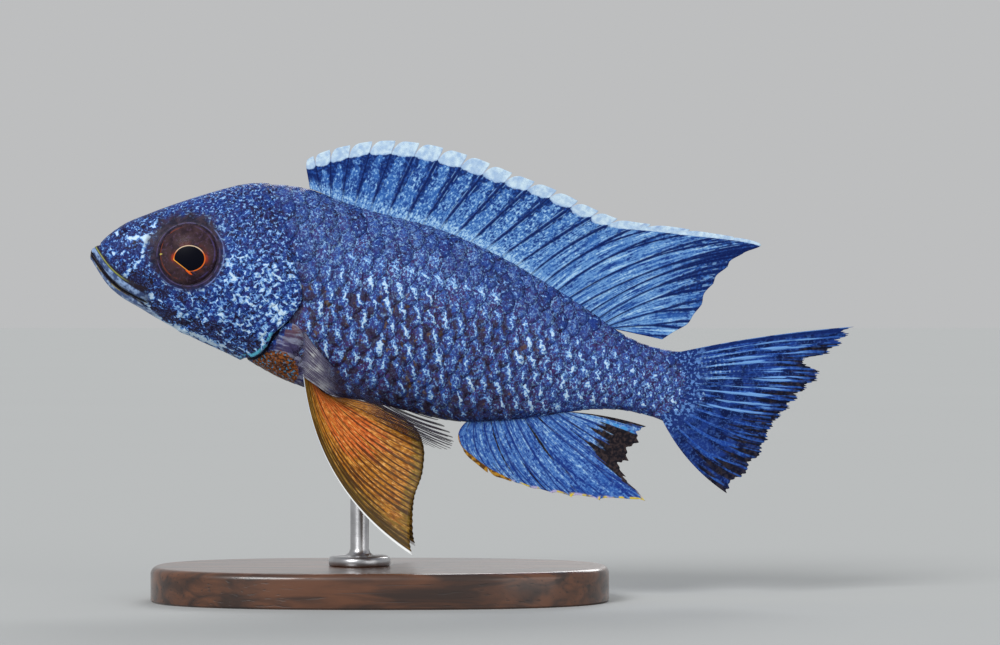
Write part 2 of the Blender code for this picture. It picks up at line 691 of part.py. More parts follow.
def build_flesh(skin):
    """Trunk, head, tail stalk and lower jaw: the whole body parted with thin cuts. Of the smaller parts, the
    largest behind the middle is the stalk, and the largest ahead of it is the jaw."""
    whole = body_solid("whole")
    boolean(whole, [lip("upper_lip", *UPPER_LIP), lip("lower_lip", *LOWER_LIP)], "UNION")
    cuts = [
        thin_sheet("mouth_cut", MOUTH_AHEAD + MOUTH_LINE + JAW_HINGE),
        thin_sheet("gill_cut", NAPE_LINE + GILL_EDGE + THROAT_LINE),
        thin_sheet("stalk_cut", STALK_LINE),
        thin_sheet("tail_cut", [(u, v) for v, u in TAIL_LINE]),
    ]
    for cutter in cuts:
        boolean(whole, [cutter], "DIFFERENCE")
    trunk, head, *smaller = closed_pieces(whole)
    stalk = next(piece for piece in smaller if piece[1][0, 0] > 0)
    jaw = next(piece for piece in smaller if piece[1][0, 0] < 0)
    named = {"trunk": trunk, "head": head, "tail_stalk": stalk, "lower_jaw": jaw}
    bpy.data.objects.remove(whole)
    return {name: mesh_object(name, points, faces, skin) for name, (_, points, faces) in named.items()}


def build_head(head, skin):
    """Gill covers set into the head's sides, eye sockets and nostrils."""
    outline = GILL_EDGE + CHEEK_EDGE
    for side, word in ((LEFT, "left"), (RIGHT, "right")):
        recess = side_layer("recess", side, outline, PLATE_INNER - GAP, PLATE_DEPTH + GAP)
        boolean(head, [recess], "DIFFERENCE")
        gill_plate(f"gill_cover_{word}", side, drawn_in(outline, GAP), skin)
        boolean(head, [eyeball("socket", side, GAP)], "DIFFERENCE")
        boolean(head, [nostril_drill("nostril", side)], "DIFFERENCE")
    keep_largest(head)


def build_fins(webbing, orange, clear):
    fin_solid(
        "dorsal_fin", DORSAL_RAYS, dorsal_root, DORSAL_TIP, dorsal_bow, taper(0.75, 0.26), 0.22, webbing,
        rows=7, root_level=on_back, lappet=dorsal_reach,
    )
    fin_solid(
        "anal_fin", ANAL_RAYS, anal_root, ANAL_TIP, anal_bow, taper(0.7, 0.26), 0.22, webbing,
        rows=7, root_level=on_belly, lappet=anal_reach,
    )
    fin_solid(
        "caudal_fin", CAUDAL_RAYS, caudal_root, CAUDAL_TIP, caudal_bow, taper(1.15, 0.26, 0.45), 0.22,
        webbing, rows=8, root_level=on_tail_stalk, free_edge=0.04,
    )
    for side, word in ((LEFT, "left"), (RIGHT, "right")):
        fin_solid(
            f"pelvic_fin_{word}", PELVIC_RAYS, pelvic_root, PELVIC_TIP, pelvic_bow, taper(0.6, 0.26), 0.2,
            orange, rows=8, sheet=pelvic_sheet(side), root_level=on_belly, free_edge=0.02,
        )
        fin_solid(
            f"pectoral_fin_{word}", PECTORAL_RAYS, PECTORAL_ROOT, PECTORAL_TIP, pectoral_bow,
            taper(0.45, 0.25), 0.14, clear, rows=8, sheet=pectoral_sheet(side), free_edge=0.04,
        )


def main():
    for obj in list(bpy.data.objects):
        bpy.data.objects.remove(obj)
    skin = material("skin", (0.07, 0.08, 0.30), 0.38)
    webbing = material("fin_webbing", (0.10, 0.20, 0.52), 0.4)
    orange = material("pelvic_webbing", (0.62, 0.22, 0.05), 0.42)
    clear = material("pectoral_webbing", (0.30, 0.32, 0.42), 0.35)
    iris = material("eye", (0.12, 0.04, 0.02), 0.1)
    wood = material("stand_wood", (0.12, 0.06, 0.03), 0.45)
    steel = material("stand_steel", (0.6, 0.6, 0.6), 0.3, metallic=1.0)
    flesh = build_flesh(skin)
    build_head(flesh["head"], skin)
    for side, word in ((LEFT, "left"), (RIGHT, "right")):
        eyeball(f"eye_{word}", side).data.materials.append(iris)
    build_fins(webbing, orange, clear)
    stand_base(wood)
    stand_rod(steel)
    for obj in bpy.context.scene.objects:
        smooth(obj)


main()
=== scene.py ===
"""A peacock cichlid, life size: a male swimming nose up, held by a plain display stand.

Fish millimetres set out every shape: u runs from the snout tip back along the body, v runs up from
that line, and w runs out to the fish's right. The fish heads towards -X. place() turns fish
millimetres into the model's metres.
"""
import math

import bpy
import numpy as np
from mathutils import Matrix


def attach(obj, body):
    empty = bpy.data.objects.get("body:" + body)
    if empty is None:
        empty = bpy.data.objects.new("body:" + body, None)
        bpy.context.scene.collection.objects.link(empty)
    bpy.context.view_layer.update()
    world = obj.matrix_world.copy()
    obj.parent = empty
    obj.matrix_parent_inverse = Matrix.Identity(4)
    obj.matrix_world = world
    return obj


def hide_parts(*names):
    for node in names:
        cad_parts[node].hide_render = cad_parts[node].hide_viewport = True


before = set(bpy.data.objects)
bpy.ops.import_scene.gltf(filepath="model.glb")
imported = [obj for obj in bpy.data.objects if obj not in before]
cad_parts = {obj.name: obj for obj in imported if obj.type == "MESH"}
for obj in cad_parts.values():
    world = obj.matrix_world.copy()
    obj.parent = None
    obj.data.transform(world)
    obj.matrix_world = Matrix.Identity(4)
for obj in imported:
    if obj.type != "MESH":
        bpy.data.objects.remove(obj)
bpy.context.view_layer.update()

# The skin
# One skin runs over the whole body, from the lips to the root of the tail fin: thin, wet and slimed over,
# stretched on the skull in front and carrying the scales behind. It is a lofted surface with the mouth,
# nostrils, orbits, cheek fold and gill openings pressed into it.
MM = 0.001
NOSE_UP = math.radians(12)
SNOUT_X, SNOUT_HEIGHT = -61.8, 56.0
TAIL_SWING, SWING_START, SWING_END = 4.5, 55.0, 124.0
SIDES = ((-1, "left"), (1, "right"))    # the sign of w on the fish's left and right


def curve_through(*points):
    """A smooth function through (x, y) points: cubic pieces whose slopes join the neighbours."""
    x, y = np.array(points, float).T
    slope = np.gradient(y, x)

    def at(value):
        """The curve's height at value, held level past its ends."""
        value = np.clip(np.asarray(value, float), x[0], x[-1])
        k = np.clip(np.searchsorted(x, value) - 1, 0, len(x) - 2)
        step = x[k + 1] - x[k]
        t = (value - x[k]) / step
        return (
            (1 + 2 * t) * (1 - t) ** 2 * y[k]
            + t * (1 - t) ** 2 * step * slope[k]
            + t * t * (3 - 2 * t) * y[k + 1]
            + t * t * (t - 1) * step * slope[k + 1]
        )

    return at


def smoothstep(low, high, value):
    """0 below low, 1 above high, and an S-shaped rise between."""
    t = np.clip((np.asarray(value, float) - low) / (high - low), 0, 1)
    return t * t * (3 - 2 * t)


def hump(distance, width):
    """A bell of height 1 round distance 0."""
    return np.exp(-((distance / width) ** 2))


BACK = curve_through(
    (0, 0.9), (0.9, 2.5), (2.2, 4.1), (3.8, 5.6), (6.4, 7.6), (12.3, 11.4), (18.2, 14.6),
    (22.8, 16.5), (27.5, 17.5), (32, 17.8), (38, 17.0), (46, 16.4), (54, 16.0), (60, 14.9),
    (66, 13.4), (72, 11.4), (78, 9.3), (83, 7.2), (87, 5.4), (91, 4.5), (95, 4.4), (100.6, 5.2),
)
BELLY = curve_through(
    (0, -0.8), (1.3, -2.4), (3.2, -4.0), (6, -5.4), (9.6, -6.9), (13.1, -8.1), (20.2, -10.1),
    (27.1, -11.5), (34.2, -13.6), (40, -14.4), (52, -14.3), (64, -14.3), (70.4, -12.9),
    (76.7, -10.9), (82, -8.8), (86, -7.6), (90, -7.0), (95, -7.2), (100.6, -7.9),
)
WIDEST_LEVEL = curve_through(
    (0, 0.1), (6, 1.0), (14, 1.6), (24, 1.2), (40, 0.6), (60, -0.2), (80, -0.9), (100.6, -1.3)
)
HALF_WIDTH = curve_through(
    (0, 1.5), (1.2, 2.5), (3, 3.5), (8, 5.0), (14, 6.1), (20, 6.9), (27, 7.5), (35, 7.8),
    (43, 7.6), (51, 7.1), (60, 6.2), (70, 4.9), (80, 3.5), (88, 2.5), (95, 1.6), (100.6, 1.0),
)
BACK_FULLNESS = curve_through((0, 2.2), (12, 2.1), (26, 1.9), (50, 1.75), (80, 1.85), (100.6, 2.0))
BELLY_FULLNESS = curve_through((0, 2.2), (14, 2.0), (30, 2.0), (50, 2.1), (80, 1.9), (100.6, 2.0))


def half_section(u, up):
    """The body's widest level at u, and its reach and fullness above that where up, or else below."""
    middle = WIDEST_LEVEL(u)
    reach = np.where(up, BACK(u) - middle, middle - BELLY(u))
    return middle, reach, np.where(up, BACK_FULLNESS(u), BELLY_FULLNESS(u))


def body_surface(u, turn):
    """A superellipse across the body at u. turn is 0 at the back and pi at the belly, and positive on the
    right."""
    u, turn = np.broadcast_arrays(np.asarray(u, float), np.asarray(turn, float))
    middle, reach, power = half_section(u, np.cos(turn) > 0)
    w = HALF_WIDTH(u) * np.sign(np.sin(turn)) * np.abs(np.sin(turn)) ** (2 / power)
    v = middle + reach * np.sign(np.cos(turn)) * np.abs(np.cos(turn)) ** (2 / power)
    return np.stack([u, w, v], axis=-1)


STEP_U, STEP_TURN = 0.06, 0.01    # the short steps over which the body's slopes are taken
SLOPES_FROM = 0.08        # they are taken no nearer the snout tip than this


def body_normal(u, turn):
    """The outward unit vector: the cross product of the slopes along the body and round it."""
    along = body_surface(u + STEP_U, turn) - body_surface(u - STEP_U, turn)
    across = body_surface(u, turn + STEP_TURN) - body_surface(u, turn - STEP_TURN)
    out = np.cross(across, along)
    return -out / np.linalg.norm(out, axis=-1, keepdims=True)


def flank(u, v):
    """Half the body's width at height v."""
    middle, reach, power = half_section(u, v > WIDEST_LEVEL(u))
    return HALF_WIDTH(u) * (1 - np.clip(np.abs(v - middle) / reach, 0, 1) ** power) ** (1 / power)


def place(fish):
    """Fish millimetres to metres: the tail's swing, then the body's pitch about the snout."""
    u, w, v = np.moveaxis(np.asarray(fish, float), -1, 0)
    swing = TAIL_SWING * np.clip((u - SWING_START) / (SWING_END - SWING_START), 0, None) ** 2
    x = SNOUT_X + u * math.cos(NOSE_UP) + v * math.sin(NOSE_UP)
    z = SNOUT_HEIGHT - u * math.sin(NOSE_UP) + v * math.cos(NOSE_UP)
    return np.stack([x, w + swing, z], axis=-1) * MM


def new_piece(name, points, faces, material, attributes=None):
    """A mesh object from arrays of points, of faces and of values kept at each point."""
    mesh = bpy.data.meshes.new(name)
    faces = [np.asarray(f, np.int32) for f in faces]
    corners = np.concatenate([f.ravel() for f in faces])
    sides = np.concatenate([np.full(len(f), f.shape[1], np.int32) for f in faces])
    mesh.vertices.add(len(points))
    mesh.vertices.foreach_set("co", np.asarray(points, np.float32).ravel())
    mesh.loops.add(len(corners))
    mesh.loops.foreach_set("vertex_index", corners)
    mesh.polygons.add(len(sides))
    mesh.polygons.foreach_set("loop_start", np.concatenate([[0], np.cumsum(sides)[:-1]]).astype(np.int32))
    mesh.update(calc_edges=True)
    for key, values in (attributes or {}).items():
        kept = mesh.attributes.new(key, "FLOAT_VECTOR", "POINT")
        kept.data.foreach_set("vector", np.asarray(values, np.float32).ravel())
    mesh.shade_smooth()
    mesh.materials.append(material)
    piece = bpy.data.objects.new(name, mesh)
    bpy.context.scene.collection.objects.link(piece)
    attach(piece, "root")
    return piece


def tube_faces(rings, count):
    """Quads of a surface of closed rings, with a fan of triangles round a point at each end."""
    ring, step = np.meshgrid(np.arange(rings - 1), np.arange(count), indexing="ij")
    a = ring * count + step
    b = ring * count + (step + 1) % count
    quads = np.stack([a, b, b + count, a + count], axis=-1).reshape(-1, 4)
    near = np.arange(count)
    after = (near + 1) % count
    last = (rings - 1) * count
    start_fan = np.stack([np.full(count, rings * count), after, near], axis=-1)
    end_fan = np.stack([np.full(count, rings * count + 1), last + near, last + after], axis=-1)
    return [quads, np.concatenate([start_fan, end_fan])]


MOUTH = curve_through(
    (0, 0.1), (1.1, -0.85), (2.2, -1.85), (3.0, -2.55), (4.0, -3.3), (6, -4.4), (8.5, -5.2), (11, -5.8)
)
GILL_EDGE = [
    (24.2, 21.0), (25.0, 15.4), (27.2, 11.6), (29.6, 9.4), (32.4, 6.0), (34.5, 2.6), (35.2, -0.6),
    (33.8, -3.8), (31.9, -6.4), (31.1, -8.8), (29.6, -10.6), (27.6, -11.4), (26.4, -13.5),
]
CHEEK_EDGE = [(17.2, -8.4), (19.4, -6.9), (21.2, -4.6), (22.2, -0.5), (22.4, 4.0), (23.2, 8.0)]
EYE_U, EYE_V = 15.98, 3.2
NOSTRIL_U, NOSTRIL_V = 4.8, 4.9
PORES = [
    (10.1, -2.9), (7.9, -1.9), (13.2, -3.7), (16.4, -3.9), (19.6, -3.4), (14.6, -7.3), (18.4, -8.0),
    (22.4, -7.4),
]
PORE_LENGTHENED = 0.8     # distances along the body count for this much round a pore
MOUTH_SLOPE = 0.8         # height off the mouth's line to distance square to it
SCALE_DEPTH = 0.34        # the skin lies this far inside the solids where scales cover it
NOSE_BACK = 0.6           # the lips' rounding reaches this far ahead of the loft, so the nose is drawn back


def smooth_line(points, count=90):
    """The same line with many points, through a smooth curve for each coordinate."""
    points = np.array(points, float)
    steps = np.linspace(0, len(points) - 1, count)
    order = np.arange(len(points))
    return np.stack([curve_through(*zip(order, points[:, k]))(steps) for k in range(2)], axis=1)


def nearest_on(line, u, v):
    """Distance to a line of points, and the side: 1 on the left of the line's run, -1 on its right."""
    points = np.stack([np.ravel(u), np.ravel(v)], axis=1)
    best = np.full(len(points), np.inf)
    side = np.ones(len(points))
    line = np.array(line, float)
    for a, b in zip(line[:-1], line[1:]):
        step = b - a
        t = np.clip(((points - a) @ step) / (step @ step), 0, 1)
        away = points - a - t[:, None] * step
        distance = np.hypot(away[:, 0], away[:, 1])
        nearer = distance < best - 1e-9
        best = np.where(nearer, distance, best)
        side = np.where(nearer, np.sign(step[0] * away[:, 1] - step[1] * away[:, 0]), side)
    return best.reshape(np.shape(u)), side.reshape(np.shape(u))


def ahead_of(line, u, v):
    """Signed distance to a line that runs upwards or downwards: positive on its snout side."""
    distance, side = nearest_on(line, u, v)
    return distance * side * (-1 if line[-1][1] < line[0][1] else 1)


gill_line = smooth_line(GILL_EDGE)
cheek_line = smooth_line(CHEEK_EDGE, 50)


def skin_relief(u, v):
    """How far the skin stands off the plain body: a sum of bells and steps over the distance to named lines,
    for lips, mouth, nostril, pores, orbit, cheek fold and gill cover, less the scales' depth behind."""
    mouth = (v - MOUTH(u)) * MOUTH_SLOPE
    mouth_fade = 1 - smoothstep(10.0, 11.4, u)
    lip_fade = 1 - smoothstep(7.5, 11.2, u)
    lift = (0.34 * hump(mouth - 0.80, 0.52) + 0.30 * hump(mouth + 0.60, 0.40)) * lip_fade
    lift = lift - 0.55 * hump(mouth, 0.12) * mouth_fade
    lift = lift - (0.24 * hump(mouth - 1.75, 0.20) + 0.18 * hump(mouth + 1.30, 0.20)) * lip_fade
    nostril = np.hypot(u - NOSTRIL_U, v - NOSTRIL_V)
    lift = lift - 0.75 * hump(nostril, 0.30) + 0.16 * hump(nostril - 0.62, 0.22)
    for pore_u, pore_v in PORES:
        lift = lift - 0.16 * hump(np.hypot((u - pore_u) * PORE_LENGTHENED, v - pore_v), 0.62)
    eye = np.hypot(u - EYE_U, v - EYE_V)
    lift = lift + 0.10 * hump(eye - 5.2, 0.5) - 2.6 * (1 - smoothstep(4.05, 4.75, eye))
    cheek = ahead_of(cheek_line, u, v)
    lift = lift - 0.26 * hump(cheek, 0.28) + 0.18 * hump(cheek + 0.7, 0.6)
    gill = ahead_of(gill_line, u, v)
    cover = 0.42 * smoothstep(21, 32, u) * smoothstep(-13.5, -11, v) * (1 - smoothstep(5, 9, v))
    lift = lift + cover * smoothstep(-0.12, 0.16, gill)
    slit = smoothstep(-13.0, -11.2, v) * (1 - smoothstep(3.0, 7.5, v))
    lift = lift - 0.5 * slit * hump(gill + 0.34, 0.26)
    lift = lift - 0.22 * hump(v - BACK(u), 2.2) * smoothstep(4, 8, u) * (1 - smoothstep(16, 22, u))
    step = -0.3 - 2.6 * smoothstep(7.5, 10.5, v)
    return lift - SCALE_DEPTH * (1 - smoothstep(step, 0.1, gill))


STALK_THINS, SKIN_END, STALK_NARROWED = 94.0, 100.6, 0.5
ROOT_COVER = 2.4          # how far the skin runs out over the tail fin's root
TAIL_ROOT = curve_through(
    (-9.5, 94.6), (-7.0, 96.0), (-4.5, 97.6), (-1.2, 98.4), (2.2, 98.0), (4.6, 96.6), (7.0, 94.8)
)


def off_body(u, turn, height):
    """The point height above the plain body, drawn in to the middle over the tail's root."""
    fish = body_surface(u, turn) + body_normal(np.maximum(u, SLOPES_FROM), turn) * height[..., None]
    fish[..., 1] *= 1 - STALK_NARROWED * smoothstep(STALK_THINS, SKIN_END, fish[..., 0])
    return fish


AROUND = 236              # points round the body
HEAD_END, STALK_WARP = 36.5, 92.0
HEAD_STATIONS, TRUNK_STATIONS, STALK_STATIONS = 262, 96, 34
SNOUT_CROWDING = 1.12     # the head's stations stand closer towards the snout by this power
NOSE_RINGS, NOSE_TIP, NOSE_BULGE = 9, 0.04, 0.42


def skin_grid():
    """Stations along the body by steps round it, in fish millimetres. Past STALK_WARP the stations bend to
    the curved line where the tail fin roots."""
    stations = np.concatenate([
        HEAD_END * np.linspace(0, 1, HEAD_STATIONS) ** SNOUT_CROWDING,
        np.linspace(HEAD_END, STALK_WARP, TRUNK_STATIONS)[1:],
        np.linspace(STALK_WARP, SKIN_END, STALK_STATIONS)[1:],
    ])[:, None]
    turn = np.linspace(0, 2 * math.pi, AROUND, endpoint=False)[None, :]
    plain = body_surface(stations, turn)
    fish = off_body(stations, turn, skin_relief(plain[..., 0], plain[..., 2]))
    u, v = plain[..., 0], plain[..., 2]
    past = np.clip((u - STALK_WARP) / (SKIN_END - STALK_WARP), 0, 1)
    fish[..., 0] = np.where(
        u > STALK_WARP, STALK_WARP + past * (TAIL_ROOT(v) + ROOT_COVER - STALK_WARP), fish[..., 0]
    )
    # The nose is rounded off in front of the first station by smaller and smaller rings.
    shrink = np.cos(np.linspace(math.pi / 2, 0, NOSE_RINGS)[:-1])[:, None]
    centre = np.array([0.0, 0.0, float(WIDEST_LEVEL(0))])
    cap = centre + (fish[0][None] - centre) * np.maximum(shrink, NOSE_TIP)[..., None]
    cap[..., 0] = fish[0, :, 0] - NOSE_BULGE * np.sqrt(1 - np.minimum(shrink, 1) ** 2)
    fish = np.concatenate([cap, fish])
    fish[..., 0] += NOSE_BACK * (1 - smoothstep(-1, 7, fish[..., 0]))
    return fish


# Strokes of pigment on the head: points of each line, its half width, and how much it adds to the level.
HEAD_STROKES = [
    ([(5.6, 3.8), (7.2, 4.2), (8.8, 4.5)], 0.42, 0.34),
    ([(8.7, 4.3), (8.6, 2.6), (8.7, 1.0)], 0.50, 0.28),
    ([(8.3, 0.4), (7.3, -0.8), (6.6, -2.4)], 0.42, 0.26),
    ([(9.6, 7.4), (9.2, 5.9), (9.8, 5.0)], 0.45, 0.22),
    ([(3.6, 4.2), (3.9, 3.6)], 0.32, 0.24),
    ([(3.0, 1.4), (3.9, 0.9)], 0.30, 0.22),
    ([(4.2, 0.5), (5.6, 1.4)], 0.34, 0.22),
    ([(5.6, -3.6), (6.8, -4.3), (8.6, -5.0), (11.2, -6.2)], 0.38, 0.38),
    ([(7.3, -5.7), (10.0, -6.65), (13.1, -7.75)], 0.42, 0.44),
    ([(13.1, -8.2), (16.5, -8.9), (19.8, -9.3), (21.7, -9.8), (23.8, -10.3)], 0.46, 0.42),
    ([(10.2, 0.2), (11.6, -0.9), (13.2, -2.0), (15.0, -2.5), (17.2, -2.5), (19.4, -1.8)], 0.22, 0.20),
    ([(15.6, 8.7), (17.3, 8.6), (18.8, 8.0), (20.0, 7.0), (20.8, 5.9)], 0.16, 0.22),
    ([(11.0, -3.6), (11.5, -4.9)], 0.55, 0.22),
    ([(12.9, -4.9), (13.4, -5.6)], 0.55, 0.24),
    ([(16.0, -4.6), (16.7, -5.6), (16.5, -6.9)], 0.42, 0.26),
    ([(19.2, -4.0), (19.6, -5.2)], 0.45, 0.22),
    ([(22.9, -4.2), (23.6, -5.9)], 0.60, 0.26),
    ([(24.4, -1.6), (26.2, -2.6), (27.8, -2.4)], 0.42, 0.22),
    ([(22.4, 3.6), (23.4, 1.6), (24.6, 0.6)], 0.42, 0.22),
    ([(31.1, -2.4), (32.5, -2.9), (32.3, -4.0)], 0.70, 0.30),
    ([(28.5, 1.1), (29.2, 0.1)], 0.70, 0.22),
    ([(30.0, 3.6), (30.4, 3.2)], 0.55, 0.24),
    ([(33.4, 3.4), (34.0, 1.1)], 0.35, 0.26),
    ([(30.3, -6.4), (30.7, -8.2)], 0.60, 0.22),
    ([(9.6, 5.6), (11.6, 8.6), (14.8, 9.8), (18.0, 9.6)], 1.0, -0.09),
    ([(29.2, -7.6), (28.4, -8.6)], 0.7, -0.14),
]
CHEEK_LEVEL, BARE_LEVEL, NO_MARKS = -0.005, -0.12, -0.4   # what large marks start from
CHEST_PATCH_U, CHEST_PATCH_V = 33.2, -12.0
AXIL_U, AXIL_V = 33.6, -7.6    # the bare flesh where the pectoral fin roots


def coat_marks(u, v):
    """Three levels that the colours follow: one for large marks, one for fine speckle and one for brown in
    the ground, which falls below 0 on the rust-brown patch of the chest."""
    gill = ahead_of(gill_line, u, v)
    eye = np.hypot(u - EYE_U, v - EYE_V)
    head = smoothstep(-0.6, 0.2, gill)
    cheek = smoothstep(11.0, 18.5, u - 0.1 * v) * (1 - smoothstep(4.5, 8.0, v))
    around_eye = 1 - smoothstep(5.0, 6.2, eye)
    strokes = sum(gain * hump(nearest_on(line, u, v)[0], width) for line, width, gain in HEAD_STROKES)
    pores = sum(hump(np.hypot((u - a) * PORE_LENGTHENED, v - b), 0.8) for a, b in PORES)
    large = BARE_LEVEL + (CHEEK_LEVEL - BARE_LEVEL) * cheek - 0.18 * around_eye
    jaw = 1 - smoothstep(-7.5, -5.0, v + 0.12 * (u - 20))
    large = large + (0.95 - 0.35 * smoothstep(11, 14, u)) * strokes - 0.16 * pores
    large = large - 0.02 * jaw * (1 - smoothstep(19, 23, u))
    large = np.where(head > 0, large, NO_MARKS)
    nape = smoothstep(4.0, 8.0, v) * smoothstep(9, 14, u)
    fine = -0.055 + 0.03 * nape * head - 0.10 * around_eye - 0.07 * jaw - 0.10 * pores
    brown = 0.45 * around_eye * smoothstep(-1, 5, v - EYE_V) + 0.45 * (1 - cheek) * (1 - nape) * head + pores
    brown = brown + 0.6 * jaw * head
    brown = brown + 0.6 * (1 - smoothstep(-12.5, -9.5, v)) * (1 - head)
    patch = np.hypot((u - CHEST_PATCH_U) * 0.72, v - CHEST_PATCH_V)
    rust = (1 - smoothstep(2.2, 3.6, patch)) * (1 - smoothstep(-0.6, 0.0, gill)) * smoothstep(26.5, 28.5, u)
    return np.stack([large, fine, brown * (1 - rust) - rust], axis=-1)


def skin_marks(fish):
    """Distances that the head's colours follow: from the mouth's line, the gill cover's edge and the eye."""
    u, v = fish[..., 0], fish[..., 2]
    mouth = (v - MOUTH(np.maximum(u, 0))) * MOUTH_SLOPE
    return np.stack([mouth, ahead_of(gill_line, u, v), np.hypot(u - EYE_U, v - EYE_V)], axis=-1)


def linear(red, green, blue):
    """A display colour, 0 to 255, as the shader's linear one."""
    return tuple(((c / 255 + 0.055) / 1.055) ** 2.4 for c in (red, green, blue)) + (1.0,)


class Wire:
    """One output of a material's nodes. Arithmetic on wires adds Math nodes to the same tree."""

    def __init__(self, tree, socket=None):
        self.tree = tree
        self.socket = socket

    def node(self, kind, settings=None, inputs=None, output=0):
        """Adds one node: its settings first, then its sockets' values or wires. Returns one output."""
        made = self.tree.nodes.new("ShaderNode" + kind)
        for key, value in (settings or {}).items():
            setattr(made, key, value)
        for key, value in (inputs or {}).items():
            if isinstance(value, Wire):
                self.tree.links.new(value.socket, made.inputs[key])
            else:
                made.inputs[key].default_value = value
        return Wire(self.tree, made.outputs[output])

    def math(self, operation, first, second=0.0):
        """One Math node over numbers or wires."""
        return self.node("Math", {"operation": operation}, {0: first, 1: second})

    def __add__(self, other):
        return self.math("ADD", self, other)

    def __sub__(self, other):
        return self.math("SUBTRACT", self, other)

    def __rsub__(self, other):
        return self.math("SUBTRACT", other, self)

    def __mul__(self, other):
        return self.math("MULTIPLY", self, other)

    def __truediv__(self, other):
        return self.math("DIVIDE", self, other)

    def __abs__(self):
        return self.math("ABSOLUTE", self)

    __radd__, __rmul__ = __add__, __mul__

    def wave(self):
        """The sine of this."""
        return self.math("SINE", self)

    def length(self):
        """The length of this vector."""
        return self.node("VectorMath", {"operation": "LENGTH"}, {0: self}, output="Value")

    def rise(self, low, high):
        """0 where this is below low, 1 above high, smooth between. Falls instead if low is over high."""
        if low > high:
            return 1 - self.rise(high, low)
        return self.node("MapRange", {"interpolation_type": "SMOOTHSTEP"}, {0: self, 1: low, 2: high})

    def mix(self, low, high):
        """A colour between low and high, by this mask."""
        return self.node("Mix", {"data_type": "RGBA"}, {0: self, 6: low, 7: high}, output=2)

    def over(self, ground, red, green, blue):
        """A display colour laid over the ground by this mask."""
        return self.mix(ground, linear(red, green, blue))

    def between(self, low, high):
        """A colour between two display colours, by this mask."""
        return self.mix(linear(*low), linear(*high))

    def shift(self, amount):
        """This vector moved by a fixed one."""
        return self.node("VectorMath", {"operation": "ADD"}, {0: self, 1: amount})

    def stretch(self, amount):
        """This vector with each coordinate scaled."""
        return self.node("VectorMath", {"operation": "MULTIPLY"}, {0: self, 1: amount})

    def parts(self):
        """The three coordinates of this vector."""
        split = self.node("SeparateXYZ", inputs={0: self})
        return [Wire(self.tree, socket) for socket in split.socket.node.outputs]

    def noise(self, scale, detail=2.0, distortion=0.0):
        """Soft noise, 0 to 1, with cells 1/scale of this vector's units across."""
        return self.node(
            "TexNoise", inputs={"Vector": self, "Scale": scale, "Detail": detail, "Distortion": distortion}
        )


def new_material(name):
    """An empty material, as (material, wire into its tree)."""
    made = bpy.data.materials.new(name)
    made.use_nodes = True
    made.node_tree.nodes.clear()
    return made, Wire(made.node_tree)


def stored(start, key):
    """A vector kept at each point of the mesh, such as fish_mm, the point's place in fish millimetres."""
    return start.node("Attribute", {"attribute_name": key}, output="Vector")


def gloss(specular, coat, coat_roughness):
    """How a surface shines: its own reflection, and the strength and roughness of a clear coat over it."""
    return {"Specular IOR Level": specular, "Coat Weight": coat, "Coat Roughness": coat_roughness}


def coat_with(start, varying, fixed, bump=None, bump_depth=0.0):
    """Ends a material in a Principled shader: wires for what varies, numbers for what doesn't."""
    inputs = {**varying, **fixed}
    if bump:
        raised = {"Height": bump, "Distance": bump_depth, "Strength": 1.0}
        inputs["Normal"] = start.node("Bump", inputs=raised)
    shader = start.node("BsdfPrincipled", inputs=inputs)
    output = start.tree.nodes.new("ShaderNodeOutputMaterial")
    start.tree.links.new(shader.socket, output.inputs["Surface"])


NEAR_WHITE, TURQUOISE = linear(200, 226, 248), linear(96, 190, 220)
# A large mark's colours from its rim inwards, each with the levels between which it comes in.
MARK_BANDS = (
    (0.50, 0.545, linear(40, 84, 168)),
    (0.545, 0.585, linear(128, 176, 230)),
    (0.60, 0.67, NEAR_WHITE),
)


